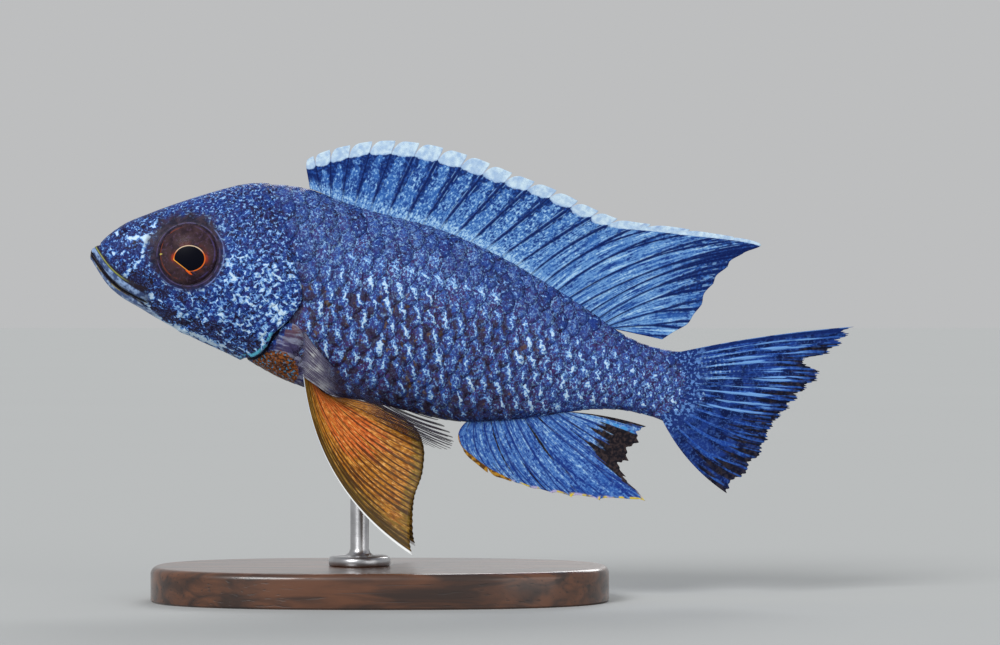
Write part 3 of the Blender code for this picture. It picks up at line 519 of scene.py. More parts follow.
def coat_ground(start):
    """The markings that skin and scales share: violet, blue and brown ground, speckle and large marks."""
    at = stored(start, "fish_mm")
    large, fine, brown = stored(start, "levels").parts()
    clouds = at.noise(0.30, 3.0)
    tint = at.shift((5.0, 2.0, 1.0)).noise(1.1, 2.0)
    ground = (clouds * 0.6 + tint * 0.4).rise(0.40, 0.60).between((30, 24, 54), (36, 40, 108))
    ground = at.shift((3.0, 1.0, 8.0)).noise(0.8, 3.0).rise(0.44, 0.62).over(ground, 24, 52, 128)
    brown_patch = (brown * (0.55 + at.shift((1.0, 7.0, 2.0)).noise(0.6, 2.0) * 0.9)).rise(0.12, 0.75)
    ground = (brown_patch * 0.8).over(ground, 34, 25, 34)
    grain = at.shift((2.0, 8.0, 3.0)).noise(3.0, 1.0)
    ground = (grain.rise(0.50, 0.66) * 0.5).over(ground, 72, 98, 164)
    fine_field = at.shift((9.0, 4.0, 6.0)).noise(2.3, 2.0, 0.5) + fine
    colour = fine_field.rise(0.49, 0.55).over(ground, 52, 96, 170)
    colour = fine_field.rise(0.56, 0.62).over(colour, 144, 186, 232)
    bent = at.shift((4.0, 9.0, 2.0)).stretch((0.85, 1.0, 1.0))
    large_field = bent.noise(1.35, 2.5, 0.75) + large
    for begins, full, pigment in MARK_BANDS:
        colour = large_field.rise(begins, full).mix(colour, pigment)
    rust = (brown * -1 + (tint - 0.5) * 1.2).rise(0.30, 0.55)
    grit = at.noise(2.6, 2.0)
    rusty = grit.rise(0.44, 0.58).between((70, 44, 34), (152, 86, 38))
    rusty = at.shift((3.0, 3.0, 5.0)).noise(2.2, 1.0).rise(0.58, 0.66).over(rusty, 84, 150, 190)
    # Bare flesh round the pectoral fin's root, lavender and brown, with paler streaks that fan from the root
    root = at.shift((-AXIL_U - 3.0, 0.0, -AXIL_V)).stretch((0.30, 0.0, 0.20))
    streaks = at.shift((2.0, 0.0, 0.0)).stretch((0.5, 0.5, 2.2)).noise(0.8, 2.0)
    flesh = streaks.rise(0.42, 0.60).between((70, 62, 96), (140, 142, 164))
    tan = streaks.rise(0.62, 0.44) * at.parts()[2].rise(-7.5, -4.5)
    flesh = (tan * 0.6).over(flesh, 124, 82, 58)
    fleshy = (root.length() + (tint - 0.5) * 1.4).rise(1.45, 0.85) * (large * -1).rise(0.30, 0.38)
    colour = (fleshy * 0.9).mix(colour, flesh)
    return at, rust.mix(colour, rusty), large_field


def skin_material():
    """Blackish violet skin with pale-blue marks on the head, blue lips, and dark ground under the scales."""
    made, start = new_material("skin")
    at, colour, field = coat_ground(start)
    u, _, v = at.parts()
    mouth, gill, eye = stored(start, "marks").parts()
    # Brown spreads from the orbit's rim, further above and ahead, with thin violet arcs in it
    smear = at.noise(1.1, 2.0)
    ahead = (v - u * 0.8).rise(EYE_V - EYE_U * 0.8 - 1.0, EYE_V - EYE_U * 0.8 + 6.0)
    rim = eye - ahead + (at.noise(0.7, 1.0) - 0.5) * (ahead * 3.0 + 0.3)
    brown = smear.rise(0.38, 0.62).between((34, 29, 42), (58, 46, 58))
    colour = (rim.rise(6.9, 4.9) * 0.95).mix(colour, brown)
    arc = abs(eye - 5.1).rise(0.12, 0.03) * at.noise(0.7).rise(0.38, 0.52)
    colour = (arc * 0.4).over(colour, 104, 92, 152)
    outer = abs(eye - 5.75).rise(0.15, 0.04) * (u - v * 0.6).rise(12.5, 15.5) * at.noise(0.7).rise(0.38, 0.52)
    colour = (outer * 0.7).over(colour, 124, 146, 206)
    # Upper lip: dark brown below, a grey-blue streak with bright patches, and an olive line along its top
    lips = mouth.rise(-1.9, -1.6) * mouth.rise(2.0, 1.6) * u.rise(12.0, 9.5)
    colour = (lips * 0.92).over(colour, 34, 27, 34)
    upper = abs(mouth - 0.80 + u.rise(5.0, 10.0) * 0.25).rise(0.52, 0.34) * u.rise(11.6, 9.0)
    streak = smear.rise(0.40, 0.62).between((62, 82, 128), (144, 172, 214))
    colour = upper.mix(colour, streak)
    upper_line = abs(mouth - 1.42).rise(0.14, 0.06) * u.rise(8.0, 5.0) * at.noise(0.8).rise(0.30, 0.46)
    colour = (upper_line * 0.9).over(colour, 142, 148, 74)
    # Lower lip: a yellow line just under the slit, and a grey-blue band that pales in patches
    lower = abs(mouth + 0.92 + u.rise(8.0, 13.0) * 0.6).rise(0.72, 0.52) * u.rise(13.5, 11.0)
    colour = lower.mix(colour, smear.rise(0.44, 0.66).between((84, 106, 152), (160, 186, 222)))
    lower_line = abs(mouth + 0.30).rise(0.10, 0.03) * u.rise(8.0, 6.0) * at.noise(0.8).rise(0.42, 0.54)
    colour = (lower_line * 0.7).over(colour, 164, 150, 74)
    # Painted shade: the mouth's slit between the lips is darkened nearly black
    painted_slit_shade = abs(mouth).rise(0.15, 0.06) * u.rise(11.6, 10.4)
    colour = painted_slit_shade.over(colour, 20, 14, 14)
    # The gill opening behind the cover is painted dark as shade, and the cover's lower flap has a broken
    # turquoise edge
    flap = gill.rise(-0.05, 0.12) * gill.rise(0.7, 0.35) * v.rise(-5.6, -6.6) * v.rise(-11.8, -10.8)
    colour = (flap * at.noise(0.6, 2.0).rise(0.40, 0.52)).mix(colour, TURQUOISE)
    # Painted shade: the slit just behind the gill cover's edge is darkened
    slit = gill.rise(-0.62, -0.4) * gill.rise(0.02, -0.12) * v.rise(6.0, 1.0)
    colour = slit.over(colour, 20, 16, 34)
    # Behind the gill cover the skin is the dark violet seen between the scales
    bare = gill.rise(-0.4, -0.8) * v.rise(-10.0, -8.5) * v.rise(10.0, 7.0)
    colour = (bare * 0.6).over(colour, 30, 28, 66)
    wet = 0.44 + at.noise(2.2, 2.0) * 0.16
    grain = at.noise(3.2, 3.0) * 0.6 + field * 0.8
    coat_with(start, {"Base Color": colour, "Roughness": wet}, gloss(0.10, 0.04, 0.18), grain, 0.00010)
    return made


skin_points = skin_grid()
skin_ends = np.stack([skin_points[0].mean(0) - [0.01, 0, 0], skin_points[-1].mean(0)])
skin_all = np.concatenate([skin_points.reshape(-1, 3), skin_ends])
skin_values = {
    "fish_mm": skin_all,
    "marks": skin_marks(skin_all),
    "levels": coat_marks(skin_all[:, 0], skin_all[:, 2]),
}
skin = new_piece("skin", place(skin_all), tube_faces(len(skin_points), AROUND), skin_material(), skin_values)
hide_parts("head", "lower_jaw", "gill_cover_left", "gill_cover_right", "trunk", "tail_stalk")

# The scales
# Thin bony plates root in pockets of the skin and overlap backwards like tiles, in staggered rows along the
# flank. Each is rounded behind and carries one upright dash of reflecting blue-white near its free edge.
# Smaller plates lie on the nape, cheek, gill cover and chest.
ARC_STATIONS = np.linspace(0, 101, 203)
ARC_TURNS = np.linspace(-0.8, math.pi + 0.8, 260)


def arc_table():
    """Distance round the body from its widest level, up positive, for each station and turn."""
    ring = body_surface(ARC_STATIONS[:, None], ARC_TURNS[None, :])
    step = np.linalg.norm(np.diff(ring, axis=1), axis=-1)
    length = np.concatenate([np.zeros((len(ring), 1)), np.cumsum(step, axis=1)], axis=1)
    widest = [np.interp(math.pi / 2, ARC_TURNS, row) for row in length]
    return np.array(widest)[:, None] - length


ARC_REACH, ARC_COUNT = 34.0, 341
ARC_STEPS = np.linspace(-ARC_REACH, ARC_REACH, ARC_COUNT)
arc_lengths = arc_table()
TURN_AT = np.array([np.interp(ARC_STEPS, row[::-1], ARC_TURNS[::-1]) for row in arc_lengths])


def turn_at(u, arc):
    """The turn that lies arc millimetres up from the widest level at u, read between the table's entries."""
    last_u, last_arc = len(ARC_STATIONS) - 1, ARC_COUNT - 1
    i = np.clip(np.asarray(u) / ARC_STATIONS[-1] * last_u, 0, last_u - 0.001)
    j = np.clip((np.asarray(arc) + ARC_REACH) / (2 * ARC_REACH) * last_arc, 0, last_arc - 0.001)
    a, b = i.astype(int), j.astype(int)
    s, t = i - a, j - b
    return (
        TURN_AT[a, b] * (1 - s) * (1 - t) + TURN_AT[a + 1, b] * s * (1 - t)
        + TURN_AT[a, b + 1] * (1 - s) * t + TURN_AT[a + 1, b + 1] * s * t
    )


SLANT = 0.07              # scale columns lean back by this share of the way down
PLATE_CELLS, PLATE_THICKNESS = 4, 0.05


def grid_faces(columns, rows):
    """Quads of a grid of points, and the points of its rim in order."""
    at = np.arange(columns * rows).reshape(columns, rows)
    quads = np.stack([at[:-1, :-1], at[1:, :-1], at[1:, 1:], at[:-1, 1:]], axis=-1).reshape(-1, 4)
    return quads, np.concatenate([at[:-1, 0], at[-1, :-1], at[:0:-1, -1], at[0, :0:-1]])


def disc(cells):
    """A square grid bent into a unit disc: each coordinate by the root of 1 less half the other squared."""
    line = np.linspace(-1, 1, cells + 1)
    x, y = np.meshgrid(line, line, indexing="ij")
    return (x * np.sqrt(1 - y * y / 2)).ravel(), (y * np.sqrt(1 - x * x / 2)).ravel()


def scale_plates(name, material, u, arc, side, length, width, lifts, flash, dash, lateral, over_skin):
    """Joined plates: a disc stretched over the flank, tilted up towards its free edge, domed, with a closed
    underside. u and arc are the centres; length and width are half sizes; lifts is root and tip height,
    above the skin's relief if over_skin. flash is the mark's brightness, dash its half height, and lateral
    is 1 where a plate carries a pore of the lateral line."""
    x, y = disc(PLATE_CELLS)
    quads, rim = grid_faces(PLATE_CELLS + 1, PLATE_CELLS + 1)
    count, points = len(u), len(x)
    chance = np.random.default_rng(len(name)).random((count, 4))
    length, width, dash, flash, lateral, lean, luck = (
        np.broadcast_to(a, count)[:, None]
        for a in (length, width, dash, flash, lateral, 0.35 + 0.7 * (chance[:, 3] - 0.5), chance[:, 0])
    )
    shape = 1 + 0.10 * (luck - 0.5)
    local_x = x[None] * length * shape
    local_y = y[None] * width * shape
    tilt = lifts[0] + (lifts[1] - lifts[0]) * (x[None] + 1) / 2 * (0.85 + 0.3 * chance[:, 1:2])
    dome = 0.02 * (1 - y[None] ** 2) + 0.008 * np.cos(3 * y[None] + 6 * chance[:, 2:3]) * (x[None] > 0)
    top = np.stack([u[:, None] + local_x - SLANT * local_y, arc[:, None] + local_y, tilt + dome], axis=-1)
    under = top[:, rim] - [0, 0, PLATE_THICKNESS]
    floor = np.stack([u, arc, np.full(count, lifts[0] - PLATE_THICKNESS)], axis=-1)[:, None]
    flat = np.concatenate([top, under, floor], axis=1)
    each = flat.shape[1]
    turn = side * turn_at(flat[..., 0], flat[..., 1])
    height = flat[..., 2]
    if over_skin:
        plain = body_surface(flat[..., 0], turn)
        height = height + skin_relief(plain[..., 0], plain[..., 2])
    fish = off_body(flat[..., 0], turn, height)
    ring = points + np.arange(len(rim))
    ring_after = points + (np.arange(len(rim)) + 1) % len(rim)
    skirt = np.stack([rim, ring, ring_after, np.roll(rim, -1)], axis=-1)
    base = np.stack([ring_after, ring, np.full(len(rim), each - 1)], axis=-1)
    offset = (np.arange(count) * each)[:, None, None]
    four = (np.concatenate([quads, skirt])[None][..., ::side] + offset).reshape(-1, 4)
    three = (base[None][..., ::side] + offset).reshape(-1, 3)
    behind = smoothstep(0.5, 7.0, -ahead_of(gill_line, fish[..., 0], fish[..., 2]))
    all_x = np.concatenate([local_x, local_x[:, rim], np.zeros((count, 1))], axis=1)
    all_y = np.concatenate([local_y, local_y[:, rim], np.zeros((count, 1))], axis=1)
    edge = (all_x / length) ** 2 + (all_y / width) ** 2
    fish = fish.reshape(-1, 3)
    values = {"fish_mm": fish, "levels": coat_marks(fish[:, 0], fish[:, 2])}
    marks = {
        "spot": (all_x - length, all_y, dash),
        "tone": (flash, luck, edge),
        "trait": (lateral, lean, behind),
    }
    for key, parts in marks.items():
        values[key] = np.stack([part + 0 * all_x for part in parts], axis=-1).reshape(-1, 3)
    piece = new_piece(name, place(fish), [four, three], material, values)
    bake_patches(piece, u, turn_at(u, arc) * side, all_x / length, all_y / width)


PATCH_HALF = 0.0015       # half a plate's patch, as a share of the whole sheet
SHEET_U, SHEET_TURN = 106.0, math.pi + 0.1


def bake_patches(piece, u, turn, x, y):
    """Gives each plate its own small patch, at its centre's place on the skin unrolled along u and turn."""
    across = np.stack([0.02 + 0.96 * u / SHEET_U, 0.5 + 0.48 * turn / SHEET_TURN], axis=-1)[:, None]
    patch = across + PATCH_HALF * np.stack([x, y], axis=-1)
    corners = np.empty(len(piece.data.loops), np.int32)
    piece.data.loops.foreach_get("vertex_index", corners)
    layer = piece.data.uv_layers.new(name="OFBake")
    layer.data.foreach_set("uv", patch.reshape(-1, 2)[corners].astype(np.float32).ravel())


def scale_material():
    """Violet plates with blue columns and brown between, each with a ragged reflecting streak near its free
    edge. On the back the streaks give way to a fine grain of violet and blue."""
    made, start = new_material("scales")
    at, ground, _ = coat_ground(start)
    u, _, v = at.parts()
    x, y, dash = stored(start, "spot").parts()
    flash, chance, edge = stored(start, "tone").parts()
    lateral, lean, behind = stored(start, "trait").parts()
    marked = flash.rise(0.02, 0.20) * (1 - (1 - behind) * v.rise(3.0, 7.0))
    ragged = at.shift((6.0, 1.0, 1.0)).noise(3.2, 2.0) - 0.5
    bend = at.shift((1.0, 1.0, 7.0)).noise(1.2, 2.0) - 0.5
    middle = x + 0.95 + lean * y + bend * 2.2
    # Violet and blue, finely grained, with pale flecks on the back
    clouds = at.noise(0.25, 3.0) + (chance - 0.5) * 0.10
    plain = clouds.rise(0.40, 0.60).between((70, 50, 104), (54, 64, 134))
    dusky = at.shift((7.0, 3.0, 1.0)).noise(1.3, 2.0).rise(0.50, 0.62)
    plain = (dusky * 0.8).over(plain, 46, 37, 86)
    grain = at.stretch((1.0, 1.0, 0.75)).noise(2.9, 2.0, 0.8) + v.rise(2.0, 9.0) * 0.035
    plain = (grain.rise(0.48, 0.57) * 0.9).over(plain, 74, 118, 188)
    plain = (grain.rise(0.58, 0.66) * 0.9).over(plain, 156, 196, 236)
    # Brown between the columns low on the flank, here and there olive
    low = v.rise(7.0, 2.0) * u.rise(84.0, 66.0)
    gaps = abs(middle + 0.1).rise(0.35, 0.75)
    brown = at.shift((1.0, 5.0, 3.0)).noise(0.75, 2.0) + low * 0.07 - 0.07
    plain = (brown.rise(0.42, 0.54) * gaps * low * 0.85).over(plain, 54, 38, 46)
    olive = at.shift((8.0, 5.0, 3.0)).noise(0.9, 1.0).rise(0.64, 0.70) * gaps * low
    plain = (olive * 0.8).over(plain, 104, 78, 40)
    plain = (v.rise(-8.5, -13.0) * 0.5).over(plain, 54, 48, 64)
    colour = (marked * 0.92).mix(ground, plain)
    # Columns of mid blue, with the streaks in them
    tall = y / dash
    flush = abs(middle).rise(0.80, 0.20) * abs(tall).rise(2.2, 1.0) * (ragged + bend * 0.5).rise(-0.06, 0.10)
    colour = (flush * marked * 0.9).over(colour, 48, 88, 170)
    level = 0.95 - middle * middle * 12.0 - tall * tall * 0.75 + ragged * 4.5 + (flash - 0.5) * 1.2
    pore = y + 0.45 * x + 0.35
    tube = 1.4 - pore * pore * 22.0 - (x + 1.1) * (x + 1.1) * 1.6 + ragged * 4.0
    level = level.math("MAXIMUM", level, tube * lateral)
    level = level - (1 - marked) * 4.0
    colour = level.rise(0.05, 0.25).over(colour, 58, 100, 184)
    colour = level.rise(0.40, 0.60).over(colour, 140, 188, 236)
    colour = level.rise(0.95, 1.30).mix(colour, NEAR_WHITE)
    roughness = 0.46 - level.rise(0.3, 1.0) * 0.10
    growth_rings = (edge * 26.0).wave() * 0.3
    coat_with(start, {"Base Color": colour, "Roughness": roughness}, gloss(0.12, 0.05, 0.2),
              growth_rings + ragged, 0.00003)
    return made


ROW_STEP = curve_through((20, 2.9), (34, 3.03), (60, 3.03), (78, 2.3), (92, 1.62), (104, 1.35))
COLUMN_PITCH = curve_through((20, 2.33), (62, 2.33), (80, 2.14), (92, 1.97), (104, 1.4))
FIRST_COLUMN, LAST_COLUMN = 22.0, 104.0
column_u = [FIRST_COLUMN]
while column_u[-1] < LAST_COLUMN:
    column_u.append(column_u[-1] + float(COLUMN_PITCH(column_u[-1])))


def flank_lattice(rows):
    """Centres of the flank's scales: rows keep their share of the body's depth, each half a pitch off the
    last."""
    k, j = (a.ravel() for a in np.meshgrid(np.arange(len(column_u) - 1), np.arange(-rows, rows + 1)))
    u = np.interp(k + 0.5 * (j % 2), np.arange(len(column_u)), column_u)
    return u, (j + 0.5) * ROW_STEP(u)


def even_lattice(pitch, row, start, end, reach):
    """Centres of scales in level rows, each half a pitch off the last."""
    columns = np.arange(math.floor(start / pitch), math.ceil(end / pitch))
    rows = np.arange(-int(reach / row), int(reach / row) + 1)
    k, j = (a.ravel() for a in np.meshgrid(columns, rows))
    return (k + 0.5 * (j % 2)) * pitch, j * row


def chest_depth(u, v):
    """Positive on the chest, where the scales are small."""
    return np.minimum(-9.8 + 0.16 * (u - 30) - v, 43.5 - u + 0.6 * (-12 - v))


NAPE_LEVEL = 8.5          # above this height the scales run on from the head to the flank with no gap
FLANK_ROWS = 10           # rows of scales above the widest level, and as many below
ROOT_RUN = 2.6            # how far those rows run out over the tail fin's root
PAST_MIDDLE = 0.12        # the turn by which they run on over the back and the belly
HEAD_PAST = 0.05          # the same for the head's scales
GILL_GAP, FOLD_GAP, EYE_GAP = 0.75, 0.95, 7.0    # how far scales' centres stay off each of these
FLANK_LIFTS, HEAD_LIFTS = (-0.32, -0.17), (-0.05, 0.025)
HEAD_PITCH, HEAD_ROW = 1.45, 1.05
HEAD_PLATE_LENGTH, HEAD_PLATE_WIDTH = 1.15, 1.0
scales_finish = scale_material()
scale_dice = np.random.default_rng(7)
for side, word in SIDES:
    u, arc = flank_lattice(FLANK_ROWS)
    turn = turn_at(u, arc)
    v = body_surface(u, turn)[..., 2]
    share = (v - BELLY(u)) / (BACK(u) - BELLY(u))
    on_body = (turn > -PAST_MIDDLE) & (turn < math.pi + PAST_MIDDLE)
    on_body &= (ahead_of(gill_line, u, v) < -GILL_GAP) & (u < TAIL_ROOT(v) + ROOT_RUN)
    on_body &= chest_depth(u, v) < 0.3
    u, arc, share, v = u[on_body], arc[on_body], share[on_body], v[on_body]
    pitch, row = COLUMN_PITCH(u), ROW_STEP(u)
    middle_zone = smoothstep(0.0, 0.12, share) * (1 - 0.85 * smoothstep(0.62, 0.76, share))
    along_zone = 1 - 0.25 * smoothstep(80, 90, u)
    lateral = hump(share - 0.75, 0.05) * (u < 66)
    fleshy = smoothstep(0.7, 1.2, np.hypot((u - AXIL_U) / 3.4, (v - AXIL_V) / 4.6))
    luck = scale_dice.random(len(u))
    flash = np.clip((middle_zone + 0.35 * lateral) * along_zone * (0.20 + 0.95 * luck), 0.04, 1) * fleshy
    dash = (0.38 - 0.08 * smoothstep(78, 90, u)) * row * (0.65 + 0.7 * scale_dice.random(len(u)))
    scale_plates(
        f"flank_scales_{word}", scales_finish, u, arc, side, 0.92 * pitch, 0.88 * row, FLANK_LIFTS,
        flash, dash, lateral, over_skin=False,
    )
    u, arc = even_lattice(HEAD_PITCH, HEAD_ROW, start=12, end=44, reach=25)
    turn = turn_at(u, arc)
    v = body_surface(u, turn)[..., 2]
    gill, cheek = ahead_of(gill_line, u, v), ahead_of(cheek_line, u, v)
    clear = ((np.abs(gill + 0.1) > FOLD_GAP) | (v > NAPE_LEVEL)) & (np.abs(cheek) > FOLD_GAP)
    clear &= (turn > -HEAD_PAST) & (turn < math.pi + HEAD_PAST) & (np.hypot(u - EYE_U, v - EYE_V) > EYE_GAP)
    on_cheek = (gill > 0) & (u > 15.5) & (v > -8.0)
    nape = (gill > np.where(v > NAPE_LEVEL, -2.4, 0)) & (v > 7.5) & (u > 14.5)
    chest = (gill < 0) & (chest_depth(u, v) > -0.5) & (u > 26)
    keep = clear & ((on_cheek & (v < 7.5)) | nape | chest)
    u, arc = u[keep], arc[keep]
    scale_plates(
        f"head_scales_{word}", scales_finish, u, arc, side, HEAD_PLATE_LENGTH, HEAD_PLATE_WIDTH, HEAD_LIFTS,
        flash=0.0, dash=1.0, lateral=0.0, over_skin=True,
    )

# The eyes
# Each eyeball is flattened, hard and glassy, and turns in its socket behind a clear cornea. The iris is dark
# brown with a thin gold ring, brightest low in front, round a black pupil that is cut flat there.
EYE_RADIUS, EYE_DEPTH, EYE_SUNK = 5.0, 2.6, 1.1
EYE_FORWARD, EYE_UP = math.radians(9), math.radians(7)
EYE_RINGS, EYE_STEPS = 72, 96


def eyeball(side):
    """A squashed ball: rings of radius R sin(a) at height D cos(a) along an axis that points out of the
    head."""
    outwards = side * math.cos(EYE_FORWARD) * math.cos(EYE_UP)
    out = np.array([-math.sin(EYE_FORWARD), outwards, math.sin(EYE_UP)])
    ahead = np.cross(out, [0, 0, 1.0])
    ahead *= -np.sign(ahead[0]) / np.linalg.norm(ahead)
    up = np.cross(ahead, out)
    up *= np.sign(up[2])
    polar = np.linspace(0, math.pi, EYE_RINGS + 2)[1:-1, None]
    around = np.linspace(0, 2 * math.pi, EYE_STEPS, endpoint=False)[None, :]
    east, north = np.sin(polar) * np.cos(around), np.sin(polar) * np.sin(around)
    height = np.cos(polar) * np.ones_like(around)
    local = np.stack([east, north, height], axis=-1).reshape(-1, 3)
    local = np.concatenate([local, [[0, 0, 1.0], [0, 0, -1.0]]])
    centre = place([EYE_U, side * (flank(EYE_U, EYE_V) - EYE_SUNK), EYE_V]) / MM
    across = EYE_RADIUS * (local[:, :1] * ahead + local[:, 1:2] * up)
    return (centre + across + EYE_DEPTH * local[:, 2:] * out) * MM, local * [EYE_RADIUS, EYE_RADIUS, 1.0]


PUPIL_AHEAD, PUPIL_LOW, PUPIL_WIDE, PUPIL_HIGH, PUPIL_CUT = -0.62, 0.95, 2.42, 1.98, 1.62
CUT_AHEAD, CUT_DOWN = 0.603, 0.797    # the way from the pupil's middle to its flat cut, as a unit vector


def eye_material():
    """A black pupil cut flat low in front, a thin gold ring with an orange drop at the cut, a dark brown
    iris, and a painted highlight on the front rim."""
    made, start = new_material("eye")
    at = stored(start, "eye_mm")
    local_ahead, local_up, _ = at.parts()
    ahead, up = local_ahead - PUPIL_AHEAD, local_up + PUPIL_LOW
    east, north = ahead / PUPIL_WIDE, up / PUPIL_HIGH
    squared = east * east + north * north
    round_away = squared.math("SQRT", squared)
    cut = ahead * (CUT_AHEAD / PUPIL_CUT) - up * (CUT_DOWN / PUPIL_CUT)
    away = round_away.math("MAXIMUM", round_away, cut * cut.rise(0.0, 0.5))
    smoke = at.noise(0.6, 3.0)
    colour = smoke.rise(0.36, 0.64).between((44, 32, 40), (66, 49, 54))
    spokes = at.stretch((1.0, 1.0, 0.2)).noise(2.6, 2.0).rise(0.52, 0.70)
    colour = (spokes * 0.35).over(colour, 98, 76, 108)
    colour = (away.rise(1.55, 1.10) * smoke.rise(0.44, 0.60) * 0.45).over(colour, 104, 46, 34)
    sides = abs(ahead).rise(2.2, 2.9) * abs(up - 0.1).rise(1.2, 0.3) * away.rise(1.30, 1.05)
    colour = (sides * away.rise(1.0, 1.04) * 0.8).over(colour, 196, 62, 26)
    ring = away.rise(0.99, 1.01) * away.rise(1.085, 1.05) * at.noise(0.7, 2.0).rise(0.26, 0.42)
    gold = up.rise(0.6, 1.7).between((228, 110, 38), (226, 200, 168))
    colour = ring.mix(colour, gold)
    hot = ring * (ahead * 0.6 - up * 0.7).rise(1.3, 1.8)
    colour = hot.over(colour, 255, 196, 70)
    beside = (ahead * CUT_DOWN + up * CUT_AHEAD + 1.35) * 1.15
    drop = 1 - beside * beside - (cut - 1.10) * (cut - 1.10) * 60.0 + (smoke - 0.5) * 2.0
    colour = (drop.rise(0.1, 0.6) * away.rise(1.0, 1.04)).over(colour, 240, 98, 28)
    colour = away.rise(1.01, 0.98).over(colour, 4, 5, 18)
    radius = at.stretch((1.0, 1.0, 0.0)).length()
    bow = abs(radius - 4.35).rise(0.16, 0.05) * local_ahead.rise(0.2, 2.4) * at.noise(0.8).rise(0.40, 0.56)
    colour = (bow * 0.8).over(colour, 120, 62, 44)
    arcs = abs(radius - 4.5).rise(0.14, 0.05) * (local_ahead * -1).rise(0.6, 2.6)
    colour = (arcs * at.noise(0.8).rise(0.4, 0.6) * 0.5).over(colour, 92, 80, 140)
    # Painted highlight: a small yellow-white streak on the eye's front rim
    painted_highlight = at.shift((-4.4, 0.1, 0.0)).stretch((1.2, 3.2, 0.0)).length().rise(0.60, 0.30)
    colour = painted_highlight.over(colour, 196, 182, 96)
    coat_with(start, {"Base Color": colour, "Roughness": 0.36 + smoke * 0.1}, gloss(0.06, 0.015, 0.04),
              smoke * away.rise(1.0, 1.1), 0.00004)
    return made


eye_finish = eye_material()
for side, word in SIDES:
    points, local = eyeball(side)
    faces = [f[:, ::-side] for f in tube_faces(EYE_RINGS, EYE_STEPS)]
    eye = new_piece(f"eyeball_{word}", points, faces, eye_finish, {"eye_mm": local})
    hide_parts(f"eye_{word}")

# The dorsal fin
# Sixteen hard spines and ten soft branched rays stand in a groove along the back, with skin stretched between
# them. Behind each spine the skin rises into a white lappet, and the last rays are drawn out into a point.
def by_ray(*rows):
    """Two smooth functions of the ray number, for u and for v, through (ray, u, v) rows."""
    along = curve_through(*((i, u) for i, u, _ in rows))
    up = curve_through(*((i, v) for i, _, v in rows))
    return lambda i: (along(i), up(i))


def taper(root, margin, sharpness=0.6):
    """Half a fin's thickness: root at the body, falling to margin at the edge."""
    return lambda r: margin + (root - margin) * (1 - np.clip(r, 0, 1) ** sharpness)


RIDGE_HALF = 0.17         # half a ray's width, in millimetres


def between_rays(i):
    """0 on each ray and 1 halfway to the next, in a wave."""
    return 0.5 - 0.5 * np.cos(2 * math.pi * i)


def rippled(height, pace):
    """A middle sheet that sways with the sine of the ray number, and more towards the margin."""
    return lambda u, v, i, r: height * np.sin(i * pace) * np.clip(r, 0, 1) ** 1.5


def fin_piece(name, rays, root, tip, bow, sheet, reach, half_thickness, material, zones, lean=0.0,
              branch_from=None, strands=1, gather=1.2, ridge=0.09, buried=0.07, columns=16, rows=60):
    """A fin: rays fan from root(i) to tip(i), bent to the left of their run by bow(i) of a parabola, as far
    as reach(i) of their length. The two faces lie half a thickness off the middle sheet, raised over each
    ray, which divides in two past branch_from. Columns of points stand closer at the rays, and what reaches
    past a ray's tip leans back. zones gives three levels for the colours from the ray number, the way along
    it, the margin's distance and the reach past its tip."""
    even = np.linspace(0, rays - 1, (rays - 1) * columns + 1)[:, None] * strands
    off = even - np.round(even)
    i = (np.round(even) + 0.5 * np.sign(off) * np.abs(2 * off) ** gather) / strands
    r = np.linspace(-buried, 1, rows)[None, :]
    (root_u, root_v), (tip_u, tip_v) = root(i), tip(i)
    length = np.hypot(tip_u - root_u, tip_v - root_v)
    end = reach(i)

    def spread(out):
        """Points of the middle sheet at the share out of each ray's length."""
        bend = bow(i) * 4 * out * (1 - np.minimum(out, 1)) / length
        leaning = lean * length * np.maximum(out - 1, 0)
        u = root_u + (tip_u - root_u) * out - (tip_v - root_v) * bend + leaning
        return u, root_v + (tip_v - root_v) * out + (tip_u - root_u) * bend

    per_ray_u, per_ray_v = (np.gradient(a, i[:, 0], axis=0) for a in spread(r))
    gap = np.abs(per_ray_u * (tip_v - root_v) - per_ray_v * (tip_u - root_u)) / length / strands
    part = i * strands - np.round(i * strands)
    split = 0.20 * smoothstep(0.40, 0.95, r) * (i > branch_from - 0.5) if branch_from is not None else 0.0
    line = np.minimum(np.abs(part - split), np.abs(part + split)) * gap
    out = r * (1 + (end - 1) * np.clip(r, 0, 1))
    u, v = spread(out)
    fading = (1 - 0.5 * np.clip(r, 0, 1)) * (1 - smoothstep(0.95, 1.0, r))
    half = half_thickness(r) + ridge * hump(line, RIDGE_HALF) * fading
    middle = sheet(u, v, i, r)
    near, far = (np.stack([u, middle + sign * half, v], axis=-1) for sign in (-1, 1))
    along, margin = np.clip(out, 0, None) * length, (end - out) * length
    number, past = i + 0 * u, (out - 1) * length
    kept = {
        "ray_mm": (number, along, margin), "fan": (line, gap, past),
        "zones": zones(number, along, margin, past),
    }
    return shell(name, near, far, kept, material)


def shell(name, near, far, kept, material):
    """Two like grids of points closed into a thin body, with values kept at each point."""
    columns, rows = near.shape[:2]
    size = columns * rows
    quads, rim = grid_faces(columns, rows)
    after = np.roll(rim, -1)
    sides = np.stack([after, rim, rim + size, after + size], axis=-1)
    faces = np.concatenate([quads, quads[:, ::-1] + size, sides])
    fish = np.concatenate([near.reshape(-1, 3), far.reshape(-1, 3)])
    points = place(fish)
    a, b, c, d = (points[faces[:, k]] for k in range(4))
    if np.einsum("ij,ij->", a + c, np.cross(c - a, d - b)) < 0:
        faces = faces[:, ::-1]
    values = {"fish_mm": fish}
    for key, parts in kept.items():
        values[key] = np.concatenate([np.stack(parts, axis=-1).reshape(-1, 3)] * 2)
    piece = new_piece(name, points, [faces], material, values)
    return piece


